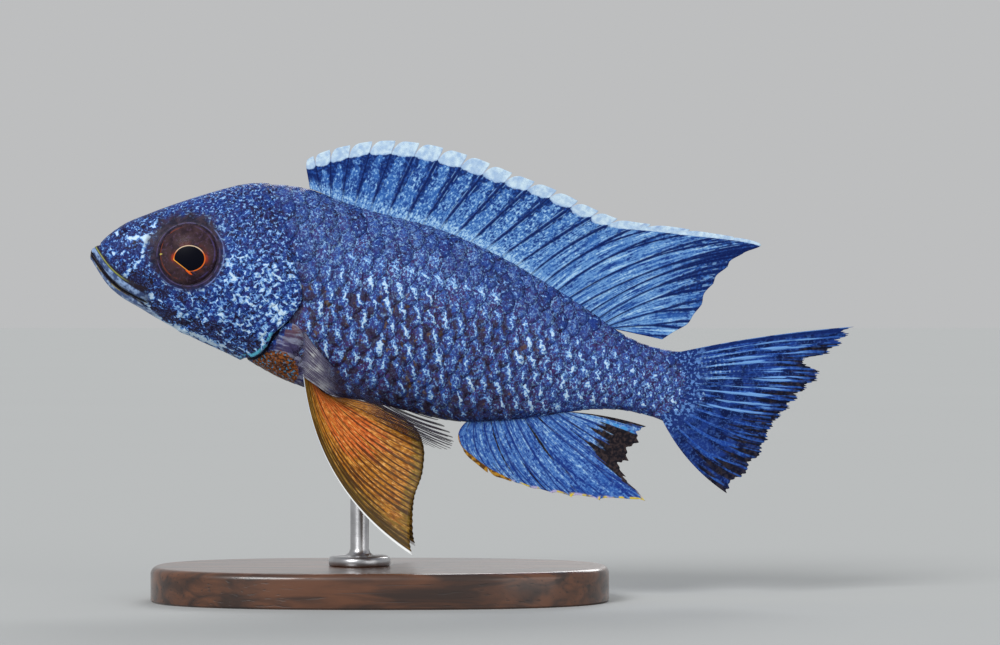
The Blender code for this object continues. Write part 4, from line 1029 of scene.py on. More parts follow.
DORSAL_RAYS = 26
DORSAL_ROOT_U = curve_through(
    (0, 32.4), (4, 40.1), (8, 51.7), (12, 62.6), (15, 70.6), (18, 77.6), (21, 82.9), (25, 86.4)
)
DORSAL_TIP = by_ray(
    (0, 31.2, 20.8), (1, 32.6, 21.5), (2, 34.8, 22.7), (4, 40.7, 25.4), (6, 47.9, 26.5), (8, 55.6, 26.3),
    (10, 63.1, 25.3), (12, 70.7, 24.4), (14, 78.0, 22.8), (15, 81.4, 22.4), (17, 93.8, 23.7),
    (19, 105.9, 24.0), (20, 103.2, 22.0), (22, 99.4, 16.2), (24, 96.6, 8.9), (25, 93.2, 5.7),
)
# How far the lappet behind each spine stands past the spine's tip, as a share of the spine.
LAPPET = curve_through(
    (0, 0.40), (1, 0.42), (2, 0.37), (3, 0.28), (4, 0.235), (5, 0.225), (9, 0.19), (12, 0.13), (15, 0.09),
    (17, 0.03), (19, 0), (25, 0),
)
LAPPET_LEAN, LAPPET_TRIM = 0.06, 0.985    # how far lappets lean back, and the share of their height left
# How many millimetres the white edge runs down below the line of the rays' tips, and none where below 0.
WHITE_BELOW = curve_through(
    (0, 0.3), (8, 0.55), (13, 0.8), (15, 1.2), (16, 1.5), (17.3, 2.1), (18.3, 1.4), (19, 0.5), (19.7, -2),
    (25, -3),
)


def dorsal_root(i):
    """Roots of the rays, a little inside the back."""
    u = DORSAL_ROOT_U(i)
    return u, BACK(u) + 0.1


def dorsal_reach(i):
    """The margin dips to each spine's tip and rises, rounded in front, to the flat top of a lappet behind it.
    The soft rays end ragged."""
    part = i % 1
    front = np.sqrt(1 - (1 - np.clip(part / 0.45, 0, 1)) ** 3)
    lappet = LAPPET(i) * front * (1 - smoothstep(0.955, 1.0, part))
    ragged = 0.014 * np.cos(2 * math.pi * i) * smoothstep(19, 21, i)
    return 1 + LAPPET_TRIM * lappet + ragged


def dorsal_bow(i):
    """Millimetres of bend: the rays near the fin's point curve forwards."""
    return 1.6 * smoothstep(13, 18, i) - 1.6 * smoothstep(19, 25, i)


def dorsal_zones(i, along, margin, past):
    """Millimetres into the white edge, half the dark band's width on each ray, and the pale base stripe."""
    part = i % 1
    spiny = 1 - smoothstep(14.0, 16.0, i)
    white = past + WHITE_BELOW(i) * (1 - spiny + spiny * np.sin(math.pi * part) ** 0.5)
    share = along / (along - np.minimum(past, 0) + 0.01)
    dark = (0.98 - 0.68 * smoothstep(9, 18, i)) * (0.22 + 0.95 * share ** 1.6) - 0.06 * smoothstep(18, 24, i)
    tip = smoothstep(96.5, 102.5, DORSAL_TIP(i)[0]) * smoothstep(-11, -2, past)
    dark = dark + 0.35 * smoothstep(-1.4, -0.1, past) * spiny + 0.5 * tip
    stripe = 1 - smoothstep(0.3, 2.1 - 0.8 * smoothstep(6, 16, i), along)
    return white, dark, stripe * (1 - smoothstep(13, 19, i))


def grained_skin(start, low, high, grain, pale, level, drawn):
    """Fin skin: two blues in clouds, strewn with grains, and streaked along the rays where drawn is high."""
    at, ray = stored(start, "fish_mm"), stored(start, "ray_mm")
    field = ray.stretch((10.0, 1.3, 0.0)).noise(1.0, 2.0) * 0.5 + at.noise(2.6, 2.0, 0.6) * 0.5
    streaks = ray.stretch((5.5, 0.16, 0.0)).noise(1.0, 3.0)
    field = field * (1 - drawn) + streaks * drawn + level
    colour = at.noise(0.5, 2.0).rise(0.38, 0.62).mix(low, high)
    colour = field.rise(0.47, 0.55).mix(colour, grain)
    return field.rise(0.56, 0.64).mix(colour, pale)


def fin_coat(start, colour, roughness, **varying):
    """Ends a fin's material: satin, with a fine grain to its surface."""
    at = stored(start, "fish_mm")
    varying.update({"Base Color": colour, "Roughness": at.noise(1.0) * 0.1 + roughness})
    coat_with(start, varying, gloss(0.07, 0.03, 0.2), at.noise(4.0, 2.0), 0.00005)


def dorsal_material():
    """Granular light-blue skin between navy spines, with white lappets and a pale stripe along the base."""
    made, start = new_material("dorsal_skin")
    at = stored(start, "fish_mm")
    i, _, _ = stored(start, "ray_mm").parts()
    line, _, past = stored(start, "fan").parts()
    white, dark, stripe = stored(start, "zones").parts()
    colour = grained_skin(
        start, linear(28, 62, 136), linear(50, 98, 172), linear(98, 146, 204), linear(168, 206, 236),
        stripe * 0.08 + i.rise(3.0, 13.0) * 0.045 - 0.02, i.rise(12, 17) * 0.55 + 0.05,
    )
    wander = (at.noise(0.9, 2.0) - 0.5) * 2.4
    band = (dark + wander * dark - line).rise(-0.16, 0.14) * (1 - stripe * 0.8)
    navy = at.noise(2.2, 2.0).rise(0.46, 0.66).between((8, 34, 98), (34, 74, 150))
    colour = (band * 0.95).mix(colour, navy)
    core = line.rise(0.17, 0.06) * (1 - stripe * 0.7)
    colour = (core * 0.8).over(colour, 6, 24, 82)
    beside = abs(line - 0.32).rise(0.10, 0.03) * at.noise(0.8, 1.0).rise(0.46, 0.54)
    colour = (beside * i.rise(4, 9) * 0.6).over(colour, 132, 178, 226)
    jagged = (at.noise(1.6, 2.0) - 0.5) * 0.6
    edge = (white + jagged).rise(-0.10, 0.10)
    shade = at.noise(1.1, 2.0).rise(0.3, 0.7).between((164, 192, 224), (206, 228, 242))
    shade = ((white + jagged).rise(0.40, 0.0) * 0.5).over(shade, 120, 156, 206)
    shade = (line.rise(0.22, 0.05) * past.rise(-0.2, 0.4) * 0.5).over(shade, 120, 140, 190)
    fin_coat(start, edge.mix(colour, shade), 0.40)
    return made


dorsal = fin_piece(
    "dorsal_webbing", DORSAL_RAYS, dorsal_root, DORSAL_TIP, dorsal_bow, rippled(0.35, 0.42), dorsal_reach,
    taper(0.42, 0.14), dorsal_material(), dorsal_zones, lean=LAPPET_LEAN, branch_from=16,
    gather=1.4, rows=76,
)
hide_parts("dorsal_fin")

# The anal fin
# Three stout spines and nine branched rays under the tail half of the body, blue skin between them. Ochre
# lappets stand behind two spines, a thin yellow and lilac rim runs on from them, and the rear is black.
ANAL_RAYS = 12
ANAL_ROOT_U = curve_through((0, 64.8), (3, 69.6), (8, 78.2), (11, 82.6))
ANAL_TIP = by_ray(
    (0, 65.4, -18.2), (1, 69.9, -20.4), (2, 74.2, -21.6), (4, 81.1, -22.4), (6, 88.9, -21.9),
    (7, 96.1, -20.5), (8, 92.0, -17.2), (9, 91.9, -14.6), (10, 92.9, -11.4), (11, 93.5, -8.6),
)
ANAL_LAPPET = curve_through((0, 0.20), (1, 0.16), (2, 0.04), (3, 0), (11, 0))


def anal_root(i):
    """Roots of the rays, a little inside the belly."""
    u = ANAL_ROOT_U(i)
    return u, BELLY(u) - 0.1


def anal_reach(i):
    """Lappets behind the first two spines. Behind the rest the skin is worn back between the rays."""
    part = i % 1
    front = np.sqrt(1 - (1 - np.clip(part / 0.3, 0, 1)) ** 2) * (1 - smoothstep(0.93, 1.0, part))
    worn = (0.02 + 0.05 * smoothstep(6.5, 8, i)) * between_rays(i)
    frayed = 0.016 * np.cos(6 * math.pi * i) * smoothstep(6.8, 7.6, i)
    return 1 + ANAL_LAPPET(i) * front - worn + frayed


def anal_bow(i):
    """Millimetres of bend: the front rays curve forwards, the last ones slightly up."""
    return -0.9 + 1.2 * smoothstep(4, 11, i)


def anal_zones(i, along, margin, past):
    """The ochre front edge and lappets, the black rear and last ray, and the pale rim along the bottom."""
    ochre = (1 - smoothstep(1.9, 2.05, i)) * smoothstep(-0.5, 0.25, past)
    ochre = np.maximum(ochre, (1 - smoothstep(0.0, 0.14, i)) * smoothstep(1.0, 2.4, along))
    smoky = smoothstep(6.9, 8.3, i) * (1 - smoothstep(3.4 + 0.5 * (i - 7), 6.5 + 0.5 * (i - 7), margin))
    smoky = smoky * (1 + 1.4 * (1 - smoothstep(1.2, 4.2, margin))) * (1 - smoothstep(10.1, 10.5, i))
    rim = (1 - smoothstep(0.32, 0.70, margin)) * smoothstep(1.9, 2.2, i) * (1 - smoothstep(7.0, 7.3, i))
    return ochre, smoky + smoothstep(10.62, 10.88, i), rim


def anal_material():
    """Granular blue with fine navy rays, ochre front lappets, a yellow and lilac rim and a black rear."""
    made, start = new_material("anal_skin")
    at, ray = stored(start, "fish_mm"), stored(start, "ray_mm")
    i, along, margin = ray.parts()
    line, _, _ = stored(start, "fan").parts()
    ochre, smoky, rim = stored(start, "zones").parts()
    colour = grained_skin(
        start, linear(28, 60, 140), linear(46, 90, 168), linear(84, 130, 198), linear(160, 200, 236),
        i.rise(8.0, 10.5) * 0.05 - along.rise(9.0, 16.0) * 0.03 + 0.03, 0.4,
    )
    fine = abs(ray.stretch((6.0, 0.25, 0.0)).noise(1.0, 1.0) - 0.5)
    colour = (fine.rise(0.030, 0.010) * 0.6).over(colour, 30, 56, 138)
    ray_dark = ((at.noise(0.9, 2.0) - 0.5) * 0.3 + 0.14 - line).rise(-0.06, 0.06)
    colour = (ray_dark * 0.8).over(colour, 22, 44, 122)
    fringe = ray.stretch((3.2, 0.06, 0.0)).noise(1.0, 2.0) - 0.5
    black = (smoky + fringe * 4.5 + (at.noise(1.2, 2.0) - 0.5) * 0.8).rise(0.36, 0.80)
    colour = black.mix(colour, at.noise(2.0, 2.0).rise(0.4, 0.7).between((24, 22, 30), (62, 50, 50)))
    bright = abs(i - 10.45).rise(0.16, 0.06) * margin.rise(0.2, 1.0) * along.rise(1.5, 4.0)
    colour = (bright * at.noise(0.7).rise(0.38, 0.52)).over(colour, 70, 146, 214)
    gold = at.noise(1.2, 2.0).rise(0.42, 0.6).between((94, 62, 26), (186, 136, 46))
    colour = (ochre + (at.noise(1.6, 2.0) - 0.5) * 0.5).rise(0.42, 0.62).mix(colour, gold)
    tint = (at.noise(0.45, 1.0) + i.rise(2.5, 6.0) * 0.08).rise(0.50, 0.58)
    tint = tint.between((196, 186, 226), (232, 206, 60))
    colour = (rim * at.noise(0.7, 1.0).rise(0.36, 0.50)).mix(colour, tint)
    fin_coat(start, colour, 0.40)
    return made


anal = fin_piece(
    "anal_webbing", ANAL_RAYS, anal_root, ANAL_TIP, anal_bow, rippled(0.3, 0.8), anal_reach,
    taper(0.42, 0.14), anal_material(), anal_zones, lean=LAPPET_LEAN, branch_from=3,
    columns=18, rows=56,
)
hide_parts("anal_fin")

# The tail fin
# Sixteen rays fan from the last bones of the tail, each dividing towards the margin, where the skin is worn
# back between their tips. Light-blue rays lie on navy skin, which turns brownish black at the margin.
CAUDAL_RAYS = 16
TAIL_COVER = 3.2          # how far the body's fine scales run out over the fin's rays
CAUDAL_ROOT_V = curve_through((0, 4.5), (8, -1.2), (15, -7.2))
CAUDAL_TIP = by_ray(
    (0, 123.8, 14.3), (2, 122.6, 11.2), (3, 120.8, 9.2), (4, 117.0, 7.2), (5, 119.9, 6.0), (7, 118.2, 2.6),
    (9, 116.2, -0.9), (11, 114.2, -4.4), (13, 113.1, -9.4), (14, 111.4, -12.8), (15, 108.9, -16.6),
)


def caudal_root(i):
    """Roots of the rays, along the curved line where the body ends."""
    v = CAUDAL_ROOT_V(i)
    return TAIL_ROOT(v) + 0.3, v


def caudal_bow(i):
    """Millimetres of bend: the upper rays curve up, the lower ones down."""
    return 0.5 - 1.55 * smoothstep(3, 15, i)


def caudal_reach(i):
    """The skin is worn back between the rays and frayed at their branches."""
    worn = 0.05 * between_rays(i) * (0.7 + 0.3 * np.sin(5.3 * i))
    return 0.978 - worn + 0.011 * np.cos(10 * math.pi * i) + 0.006 * np.cos(23 * i)


def caudal_zones(i, along, margin, past):
    """Light streaks on the rays, the smoky skin near the margin, and the dark lower lobe."""
    upper = smoothstep(0.6, 1.2, i) * (1 - smoothstep(5.0, 6.5, i))
    middle = smoothstep(4.5, 6.0, i) * (1 - smoothstep(9.5, 12.0, i))
    shown = smoothstep(0.8, 2.8, along) * smoothstep(0.5, 7.0, margin)
    smoky = (1 - smoothstep(2.0, 9.5 - 1.5 * upper, margin)) * smoothstep(1.2, 2.4, i)
    return (0.07 + 0.06 * middle) * (upper + middle) * shown, smoky, smoothstep(9.5, 12.5, i)


def caudal_material():
    """Navy skin with light-blue streaks on the rays, beaded near the root, and a smoky margin."""
    made, start = new_material("caudal_skin")
    at, ray = stored(start, "fish_mm"), stored(start, "ray_mm")
    i, along, margin = ray.parts()
    line, gap, _ = stored(start, "fan").parts()
    streak, smoky, lower = stored(start, "zones").parts()
    across = line / gap
    colour = at.noise(0.45, 3.0).rise(0.40, 0.62).between((8, 24, 72), (26, 54, 126))
    grain = at.noise(2.6, 2.0, 0.5)
    colour = ((grain + lower * 0.02).rise(0.52, 0.62) * 0.55).over(colour, 58, 92, 158)
    long_noise = ray.stretch((3.1, 0.16, 0.0)).noise(1.0, 2.0)
    fringe = ray.stretch((4.0, 0.06, 0.0)).noise(1.0, 2.0)
    soot = ((across * 1.2 + 0.65) * smoky + (fringe - 0.5) * 3.0).rise(0.42, 0.86)
    sooty = at.noise(1.6, 2.0).rise(0.4, 0.7).between((10, 10, 24), (46, 40, 44))
    colour = (soot * 0.94).mix(colour, sooty)
    lens = ((long_noise - 0.5) * 2.0 + 0.24 - line - lower * 0.06).rise(-0.02, 0.12) * margin.rise(0.3, 3.0)
    colour = (lens * 0.85).mix(colour, grain.rise(0.42, 0.62).between((30, 70, 156), (58, 104, 184)))
    fine = (streak + (long_noise - 0.5) * 1.2 - line + 0.02).rise(0.0, 0.08)
    colour = (fine * streak.rise(0.01, 0.06)).over(colour, 112, 160, 218)
    beads = (along * 8.6).wave().rise(-0.2, 0.6) * along.rise(10.0, 4.0) * along.rise(0.8, 1.6)
    beads = beads * line.rise(0.24, 0.10) * i.rise(0.8, 1.6) * i.rise(7.5, 5.0) * grain.rise(0.46, 0.56)
    colour = (beads * 0.8).over(colour, 160, 200, 236)
    edging = line.rise(0.18, 0.08) * at.noise(0.8).rise(0.44, 0.56) * margin.rise(6.0, 1.0)
    colour = (edging * 0.7).over(colour, 46, 92, 172)
    colour = (i.rise(0.80, 0.40) * 0.85).over(colour, 14, 38, 104)
    top_edge = i.rise(0.16, 0.05) * at.noise(0.5).rise(0.40, 0.52)
    colour = (top_edge * 0.8).over(colour, 100, 148, 218)
    scaly = (TAIL_COVER - along + (at.noise(0.6, 2.0) - 0.5) * 3.0).rise(-1.0, 2.0)
    specks = at.shift((9.0, 4.0, 6.0)).noise(2.1, 1.5, 0.4)
    scaled = specks.rise(0.50, 0.60).between((28, 50, 116), (92, 134, 198))
    fin_coat(start, scaly.mix(colour, scaled), 0.40)
    return made


caudal = fin_piece(
    "caudal_webbing", CAUDAL_RAYS, caudal_root, CAUDAL_TIP, caudal_bow, rippled(0.3, 0.7), caudal_reach,
    taper(0.62, 0.13, 0.45), caudal_material(), caudal_zones, branch_from=1, columns=20,
    rows=72,
)
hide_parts("caudal_fin")

# The pelvic fins
# A pair under the chest, each one spine and branched rays, spread down and out to a drawn-out point. The
# leading edge is white, the skin orange and red with fine dark rays, and olive towards its borders.
PELVIC_RAYS, PELVIC_STRANDS = 9, 3
PELVIC_ROOT_U = curve_through((0, 38.2), (8, 43.2))
PELVIC_ROOT_W = curve_through((0, 3.2), (8, 1.5))
PELVIC_TIP = by_ray(
    (0, 61.1, -36.1), (1, 60.3, -34.1), (2, 59.6, -31.0), (3, 59.3, -28.3), (5, 59.7, -22.9),
    (6, 59.0, -19.4), (7, 56.5, -16.3), (8, 50.6, -14.2),
)
PELVIC_SPREAD = math.tan(math.radians(15))


def belly_height(u, w):
    """Height of the belly's surface at w from the middle plane."""
    middle, power = WIDEST_LEVEL(u), BELLY_FULLNESS(u)
    share = np.clip(np.abs(w) / HALF_WIDTH(u), 0, 1)
    return middle - (middle - BELLY(u)) * (1 - share ** power) ** (1 / power)


def pelvic_root(i):
    """Roots of the rays, a little inside the chest."""
    u = PELVIC_ROOT_U(i)
    return u, belly_height(u, PELVIC_ROOT_W(i)) - 0.1


def pelvic_sheet(side):
    """The fin leans outwards with distance from its root, more steeply towards the tip."""
    def sheet(u, v, i, r):
        """Millimetres off the middle plane."""
        start_u = PELVIC_ROOT_U(i)
        away = np.hypot(u - start_u, v - belly_height(start_u, PELVIC_ROOT_W(i)))
        return side * (PELVIC_ROOT_W(i) + PELVIC_SPREAD * away * (0.55 + 0.45 * np.clip(r, 0, 1)))
    return sheet


def pelvic_bow(i):
    """Millimetres of bend: the leading edge curves forwards and down."""
    return -3.7 + 3.9 * smoothstep(0, 8, i)


def pelvic_reach(i):
    """The skin is worn back a little between the branches."""
    return 1 - 0.004 * between_rays(PELVIC_STRANDS * i)


def pelvic_zones(i, along, margin, past):
    """How red the skin is, how olive, and the white leading edge."""
    red = smoothstep(1.6, 3.2, i) * (1 - smoothstep(5.4, 7.2, i)) * (1 - smoothstep(9, 19, along))
    olive = 1 - smoothstep(0.6, 3.6, margin) * smoothstep(1.0, 2.7, i)
    olive = np.maximum(olive, 0.8 * smoothstep(13, 22, along) * (1 - smoothstep(1.5, 4.0, i)))
    return red, olive, 1 - smoothstep(0.0, 0.40, i)


def pelvic_material():
    """Orange skin, redder near the root and olive at the borders, with dark-brown rays and a white edge."""
    made, start = new_material("pelvic_skin")
    at, ray = stored(start, "fish_mm"), stored(start, "ray_mm")
    i, along, margin = ray.parts()
    line, _, _ = stored(start, "fan").parts()
    red, olive, edge = stored(start, "zones").parts()
    long_noise = ray.stretch((6.0, 0.10, 0.0)).noise(1.0, 2.0) - 0.5
    colour = at.noise(0.6, 2.0).rise(0.36, 0.64).between((146, 86, 14), (178, 114, 28))
    colour = (red + long_noise * 2.4).rise(0.46, 0.86).over(colour, 204, 98, 40)
    colour = (olive + long_noise * 1.4).rise(0.48, 0.85).over(colour, 118, 92, 26)
    glow = ray.stretch((12.0, 0.35, 0.0)).noise(1.0, 2.0).rise(0.50, 0.62)
    colour = (glow * (1 - olive * 0.6) * 0.6).over(colour, 224, 158, 76)
    speck = ray.shift((0.0, 3.0, 0.0)).stretch((10.0, 1.1, 0.0)).noise(1.0, 2.0)
    colour = (speck.rise(0.52, 0.62) * 0.6).over(colour, 98, 50, 14)
    colour = (speck.rise(0.42, 0.34) * (1 - olive * 0.5) * 0.6).over(colour, 240, 184, 112)
    rays = (long_noise * 0.9 + along.rise(3.0, 16.0) * 0.10 + 0.05 - line).rise(-0.03, 0.07)
    colour = (rays * 0.85).over(colour, 54, 28, 10)
    shadow = i.rise(1.6, 0.7) * along.rise(5.0, 14.0) * (1 - glow * 0.5)
    colour = (shadow * 0.7).over(colour, 72, 58, 32)
    colour = (margin.rise(0.7, 0.2) * i.rise(1.5, 2.5) * 0.5).over(colour, 78, 62, 34)
    colour = edge.rise(0.30, 0.50).over(colour, 198, 170, 62)
    colour = i.rise(0.30, 0.20).over(colour, 238, 240, 240)
    outer = i.rise(0.10, 0.03) * along.rise(15.0, 9.0)
    colour = (outer * 0.75).over(colour, 120, 168, 226)
    fin_coat(start, colour, 0.42)
    return made


pelvic_finish = pelvic_material()
for side, word in SIDES:
    pelvic = fin_piece(
        f"pelvic_webbing_{word}", PELVIC_RAYS, pelvic_root, PELVIC_TIP, pelvic_bow, pelvic_sheet(side),
        pelvic_reach, taper(0.5, 0.13), pelvic_finish, pelvic_zones,
        strands=PELVIC_STRANDS, ridge=0.06, buried=0.05, columns=24, rows=72,
    )
    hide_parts(f"pelvic_fin_{word}")

# The pectoral fins
# Clear rounded fans behind the gill openings, on a short fleshy base, laid back and down along the flank. The
# skin is almost colourless, so the flank shows through between the fine dark rays.
PECTORAL_RAYS = 14
PECTORAL_ROOT = by_ray((0, 36.4, -4.6), (3, 37.0, -8.4), (6, 37.4, -11.9))
PECTORAL_TIP = by_ray(
    (0, 60.4, -14.8), (1, 62.9, -16.6), (2, 63.7, -18.0), (4, 60.2, -18.7), (5, 56.9, -18.1), (6, 52.2, -16.9)
)
PECTORAL_SPREAD, PECTORAL_OFF = math.tan(math.radians(7)), 0.45
PECTORAL_STEP = 6 / (PECTORAL_RAYS - 1)    # from a ray's number to the one that the tables above count by


def pectoral_sheet(side):
    """The fin lifts off the flank by a few degrees from its root back."""
    def sheet(u, v, i, r):
        """Millimetres off the middle plane."""
        start_u, start_v = PECTORAL_ROOT(i * PECTORAL_STEP)
        away = np.hypot(u - start_u, v - start_v) * np.where(r < 0, -1, 1)
        return side * (flank(start_u, start_v) + PECTORAL_OFF + PECTORAL_SPREAD * away)
    return sheet


def pectoral_bow(i):
    """Millimetres of bend: the upper rays sag down."""
    return -2.6 + 2.2 * smoothstep(0, 5, i * PECTORAL_STEP)


def pectoral_reach(i):
    """The skin is worn back between the rays."""
    return 1 - 0.04 * between_rays(i)


def pectoral_zones(i, along, margin, past):
    """The fleshy base, the outer part where the rays show darker, and the frayed margin."""
    fleshy = smoothstep(-0.2, 1.6, along) * (1 - smoothstep(2.5, 9.0, along))
    return fleshy, smoothstep(11, 18, along), 1 - smoothstep(0.2, 1.5, margin)


def pectoral_material():
    """Clear greyish violet skin with dark rays, on a lavender-brown base with paler radial streaks and
    near-white patches painted as a highlight.
    """
    made, start = new_material("pectoral_skin")
    at, ray = stored(start, "fish_mm"), stored(start, "ray_mm")
    line, _, _ = stored(start, "fan").parts()
    fleshy, outer, frayed = stored(start, "zones").parts()
    rays = line.rise(0.12, 0.04)
    colour = rays.mix(linear(112, 112, 146), outer.between((64, 60, 92), (44, 36, 44)))
    radial = ray.stretch((4.5, 0.20, 0.0)).noise(1.0, 3.0)
    flesh = radial.rise(0.40, 0.62).between((78, 68, 92), (128, 128, 150))
    # Painted highlight: near-white patches on the fleshy base, following the radial streaks
    pale = (radial * 0.5 + at.noise(0.5, 2.0) * 0.5).rise(0.48, 0.58)
    flesh = (pale * 0.8).over(flesh, 196, 198, 200)
    colour = fleshy.mix(colour, flesh)
    seen = rays * (0.14 + outer * 0.46) + fleshy * (0.30 + radial * 0.8) + at.noise(1.4) * 0.06 + 0.02
    seen = (seen - frayed * 0.14).rise(0.0, 1.0)
    fin_coat(start, colour, 0.40, Alpha=seen)
    return made


pectoral_finish = pectoral_material()
for side, word in SIDES:
    pectoral = fin_piece(
        f"pectoral_webbing_{word}", PECTORAL_RAYS, lambda i: PECTORAL_ROOT(i * PECTORAL_STEP),
        lambda i: PECTORAL_TIP(i * PECTORAL_STEP), pectoral_bow, pectoral_sheet(side), pectoral_reach,
        taper(0.32, 0.12), pectoral_finish, pectoral_zones, ridge=0.06, columns=12,
        rows=56, buried=0.06,
    )
    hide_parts(f"pectoral_fin_{word}")

# The stand's base
# An oval of dark hardwood, turned with a rounded upper edge, sanded and given a satin lacquer.
BASE_LENGTH, BASE_WIDTH, BASE_HEIGHT, BASE_X = 74.0, 42.0, 5.6, -15.0
BASE_STEPS, BEVEL_STEPS, BASE_ROUNDNESS = 160, 8, 0.8
TOP_BEVEL, LOWER_BEVEL, INNER_CUT = 1.1, 0.3, 20.0
FLAT_RING = 0.6           # a ring this far inside the upper bevel keeps the top's shading flat


def oval(cut, height):
    """One ring of the base's superellipse, drawn in by cut."""
    turn = np.linspace(0, 2 * math.pi, BASE_STEPS, endpoint=False)
    east, north = (np.sign(f) * np.abs(f) ** BASE_ROUNDNESS for f in (np.cos(turn), np.sin(turn)))
    x = BASE_X + (BASE_LENGTH / 2 - cut) * east
    return np.stack([x, (BASE_WIDTH / 2 - cut) * north, np.full(BASE_STEPS, height)], axis=-1)


def wood_material():
    """Dark brown wood: long grain along X, fine pores, and a satin lacquer."""
    made, start = new_material("stand_wood")
    at = start.node("TexCoord", output="Object").stretch((60.0, 420.0, 420.0))
    grain = at.noise(1.0, 6.0, 0.8)
    colour = grain.rise(0.32, 0.70).between((44, 24, 14), (98, 58, 34))
    pores = at.stretch((0.6, 4.0, 4.0)).noise(1.4, 2.0).rise(0.60, 0.72)
    colour = (pores * 0.6).over(colour, 26, 14, 9)
    coat_with(start, {"Base Color": colour, "Roughness": 0.36 + pores * 0.2},
              {"Coat Weight": 0.5, "Coat Roughness": 0.12}, grain * 0.5 - pores * 0.5, 0.00004)
    return made


bends = np.linspace(math.pi / 2, 0, BEVEL_STEPS)
base_profile = [
    (INNER_CUT, 0.0), (LOWER_BEVEL, 0.0), (0.0, LOWER_BEVEL),
    *((TOP_BEVEL * (1 - math.sin(a)), BASE_HEIGHT - TOP_BEVEL * (1 - math.cos(a))) for a in bends),
    (TOP_BEVEL + FLAT_RING, BASE_HEIGHT), (INNER_CUT, BASE_HEIGHT),
]
base_rings = np.stack([oval(cut, height) for cut, height in base_profile])
base_ends = np.array([[BASE_X, 0, 0], [BASE_X, 0, BASE_HEIGHT]])
base_points = np.concatenate([base_rings.reshape(-1, 3), base_ends]) * MM
base = new_piece("base_wood", base_points, tube_faces(len(base_profile), BASE_STEPS), wood_material())
base.data.set_sharp_from_angle(angle=math.radians(40))
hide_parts("stand_base")

# The stand's rod
# A short steel rod, turned in one piece with a small round foot that is screwed to the base from below. Its
# top is filed to the belly's slope and glued there.
ROD_U, ROD_RADIUS, ROD_SUNK = 47.5, 1.5, 0.25
FOOT_RADIUS, FOOT_HEIGHT, FOOT_LIFT = 5.0, 1.6, 0.02    # the lift parts the foot's face from the wood's
ROD_STEPS = 64


def rod_rings():
    """Turned profile of foot and rod; the top ring follows the belly, and ends just under its scales."""
    centre = place([ROD_U, 0, float(BELLY(ROD_U))]) / MM
    turn = np.linspace(0, 2 * math.pi, ROD_STEPS, endpoint=False)
    low = BASE_HEIGHT + FOOT_LIFT
    high = low + FOOT_HEIGHT
    profile = [
        (0.6, low), (FOOT_RADIUS - 0.2, low), (FOOT_RADIUS, low + 0.2), (FOOT_RADIUS, high - 0.6),
        (FOOT_RADIUS - 0.2, high - 0.2), (FOOT_RADIUS - 0.7, high), (ROD_RADIUS + 0.8, high + 0.1),
        (ROD_RADIUS + 0.25, high + 0.45), (ROD_RADIUS, high + 1.1),
    ]
    rings = [
        np.stack([centre[0] + radius * np.cos(turn), radius * np.sin(turn), np.full(ROD_STEPS, z)], axis=-1)
        for radius, z in profile
    ]
    x, y = centre[0] + ROD_RADIUS * np.cos(turn), ROD_RADIUS * np.sin(turn)
    along = (x - SNOUT_X - float(BELLY(ROD_U)) * math.sin(NOSE_UP)) / math.cos(NOSE_UP)
    top = place(np.stack([along, 0 * along, belly_height(along, y) + ROD_SUNK], axis=-1))[:, 2] / MM
    return np.stack(rings + [np.stack([x, y, top], axis=-1)])


def steel_material():
    """Bright steel with fine turning lines round it."""
    made, start = new_material("stand_steel")
    at = start.node("TexCoord", output="Object")
    lines = at.stretch((300.0, 300.0, 9000.0)).noise(1.0, 2.0)
    smudge = at.stretch((240.0, 240.0, 240.0)).noise(1.0, 2.0)
    colour = smudge.rise(0.3, 0.7).between((168, 168, 170), (196, 196, 198))
    coat_with(start, {"Base Color": colour, "Roughness": 0.22 + lines * 0.18}, {"Metallic": 1.0},
              lines, 0.000006)
    return made


rod_points = rod_rings()
rod_ends = np.stack([rod_points[0].mean(0), rod_points[-1].mean(0)])
rod = new_piece(
    "rod_steel", np.concatenate([rod_points.reshape(-1, 3), rod_ends]) * MM,
    tube_faces(len(rod_points), ROD_STEPS), steel_material(),
)
rod.data.set_sharp_from_angle(angle=math.radians(50))
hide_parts("stand_rod")

# The studio
# A plain pale floor under a pale sky of one brightness, with three soft distant lamps: the key from the upper
# left in front, a fill from the right, and one behind. The floor shows nearly as bright as the sky.
FLOOR_HALF = 30.0


def floor_material():
    """Pale grey and quite matt."""
    made, start = new_material("studio_floor")
    at = start.node("TexCoord", output="Object")
    colour = at.noise(3.0, 2.0).between((176, 178, 178), (178, 180, 180))
    coat_with(start, {"Base Color": colour}, {"Roughness": 0.9, "Specular IOR Level": 0.0})
    return made


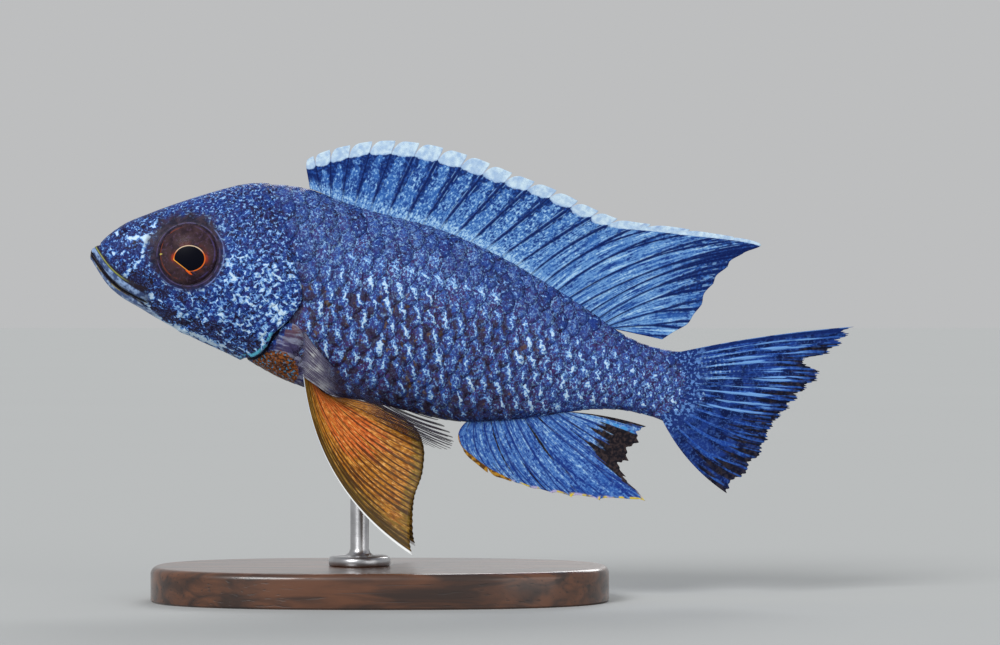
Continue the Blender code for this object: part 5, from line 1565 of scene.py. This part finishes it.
corners = np.array([[-1, -1, 0], [1, -1, 0], [1, 1, 0], [-1, 1, 0]]) * FLOOR_HALF
floor_mesh = bpy.data.meshes.new("floor")
floor_mesh.from_pydata([tuple(c) for c in corners], [], [(0, 1, 2, 3)])
floor_mesh.materials.append(floor_material())
floor = bpy.data.objects.new("floor", floor_mesh)
bpy.context.scene.collection.objects.link(floor)


def soft_lamp(name, towards, strength, spread):
    """A distant lamp whose light travels along towards, with its disc spread degrees across."""
    lamp = bpy.data.lights.new(name, "SUN")
    lamp.energy = strength
    lamp.angle = math.radians(spread)
    made = bpy.data.objects.new(name, lamp)
    bpy.context.scene.collection.objects.link(made)
    x, y, z = towards
    made.rotation_euler = (math.acos(-z / math.hypot(x, y, z)), 0.0, math.atan2(y, x) - math.pi / 2)


soft_lamp("key", (0.45, 0.75, -0.62), 1.9, 24)
soft_lamp("fill", (-0.7, 0.7, -0.25), 0.45, 40)
soft_lamp("back", (-0.2, -0.8, -0.6), 1.2, 30)

world = bpy.data.worlds.new("studio")
world.use_nodes = True
sky = world.node_tree.nodes["Background"]
sky.inputs["Color"].default_value = (0.98, 0.99, 1.0, 1.0)
sky.inputs["Strength"].default_value = 0.52
bpy.context.scene.world = world
bpy.context.scene.view_settings.view_transform = "Standard"

PIXEL = 0.1618            # fish millimetres across one of the photograph's pixels
PHOTO_WIDTH, PHOTO_HEIGHT = 1000, 645
SNOUT_PIXEL_X, SNOUT_PIXEL_Y = 91, 254
CAMERA_DISTANCE, SENSOR_WIDTH, CLIP_START = 600.0, 36.0, 0.01
aim_x = SNOUT_X + PIXEL * (PHOTO_WIDTH / 2 - SNOUT_PIXEL_X)
aim_z = SNOUT_HEIGHT - PIXEL * (PHOTO_HEIGHT / 2 - SNOUT_PIXEL_Y)
camera_data = bpy.data.cameras.new("camera")
camera_data.sensor_width = SENSOR_WIDTH
camera_data.lens = SENSOR_WIDTH * CAMERA_DISTANCE / (PHOTO_WIDTH * PIXEL)
camera_data.clip_start = CLIP_START
camera = bpy.data.objects.new("camera", camera_data)
camera.location = (aim_x * MM, -CAMERA_DISTANCE * MM, aim_z * MM)
camera.rotation_euler = (math.pi / 2, 0.0, 0.0)
bpy.context.scene.collection.objects.link(camera)
bpy.context.scene.camera = camera
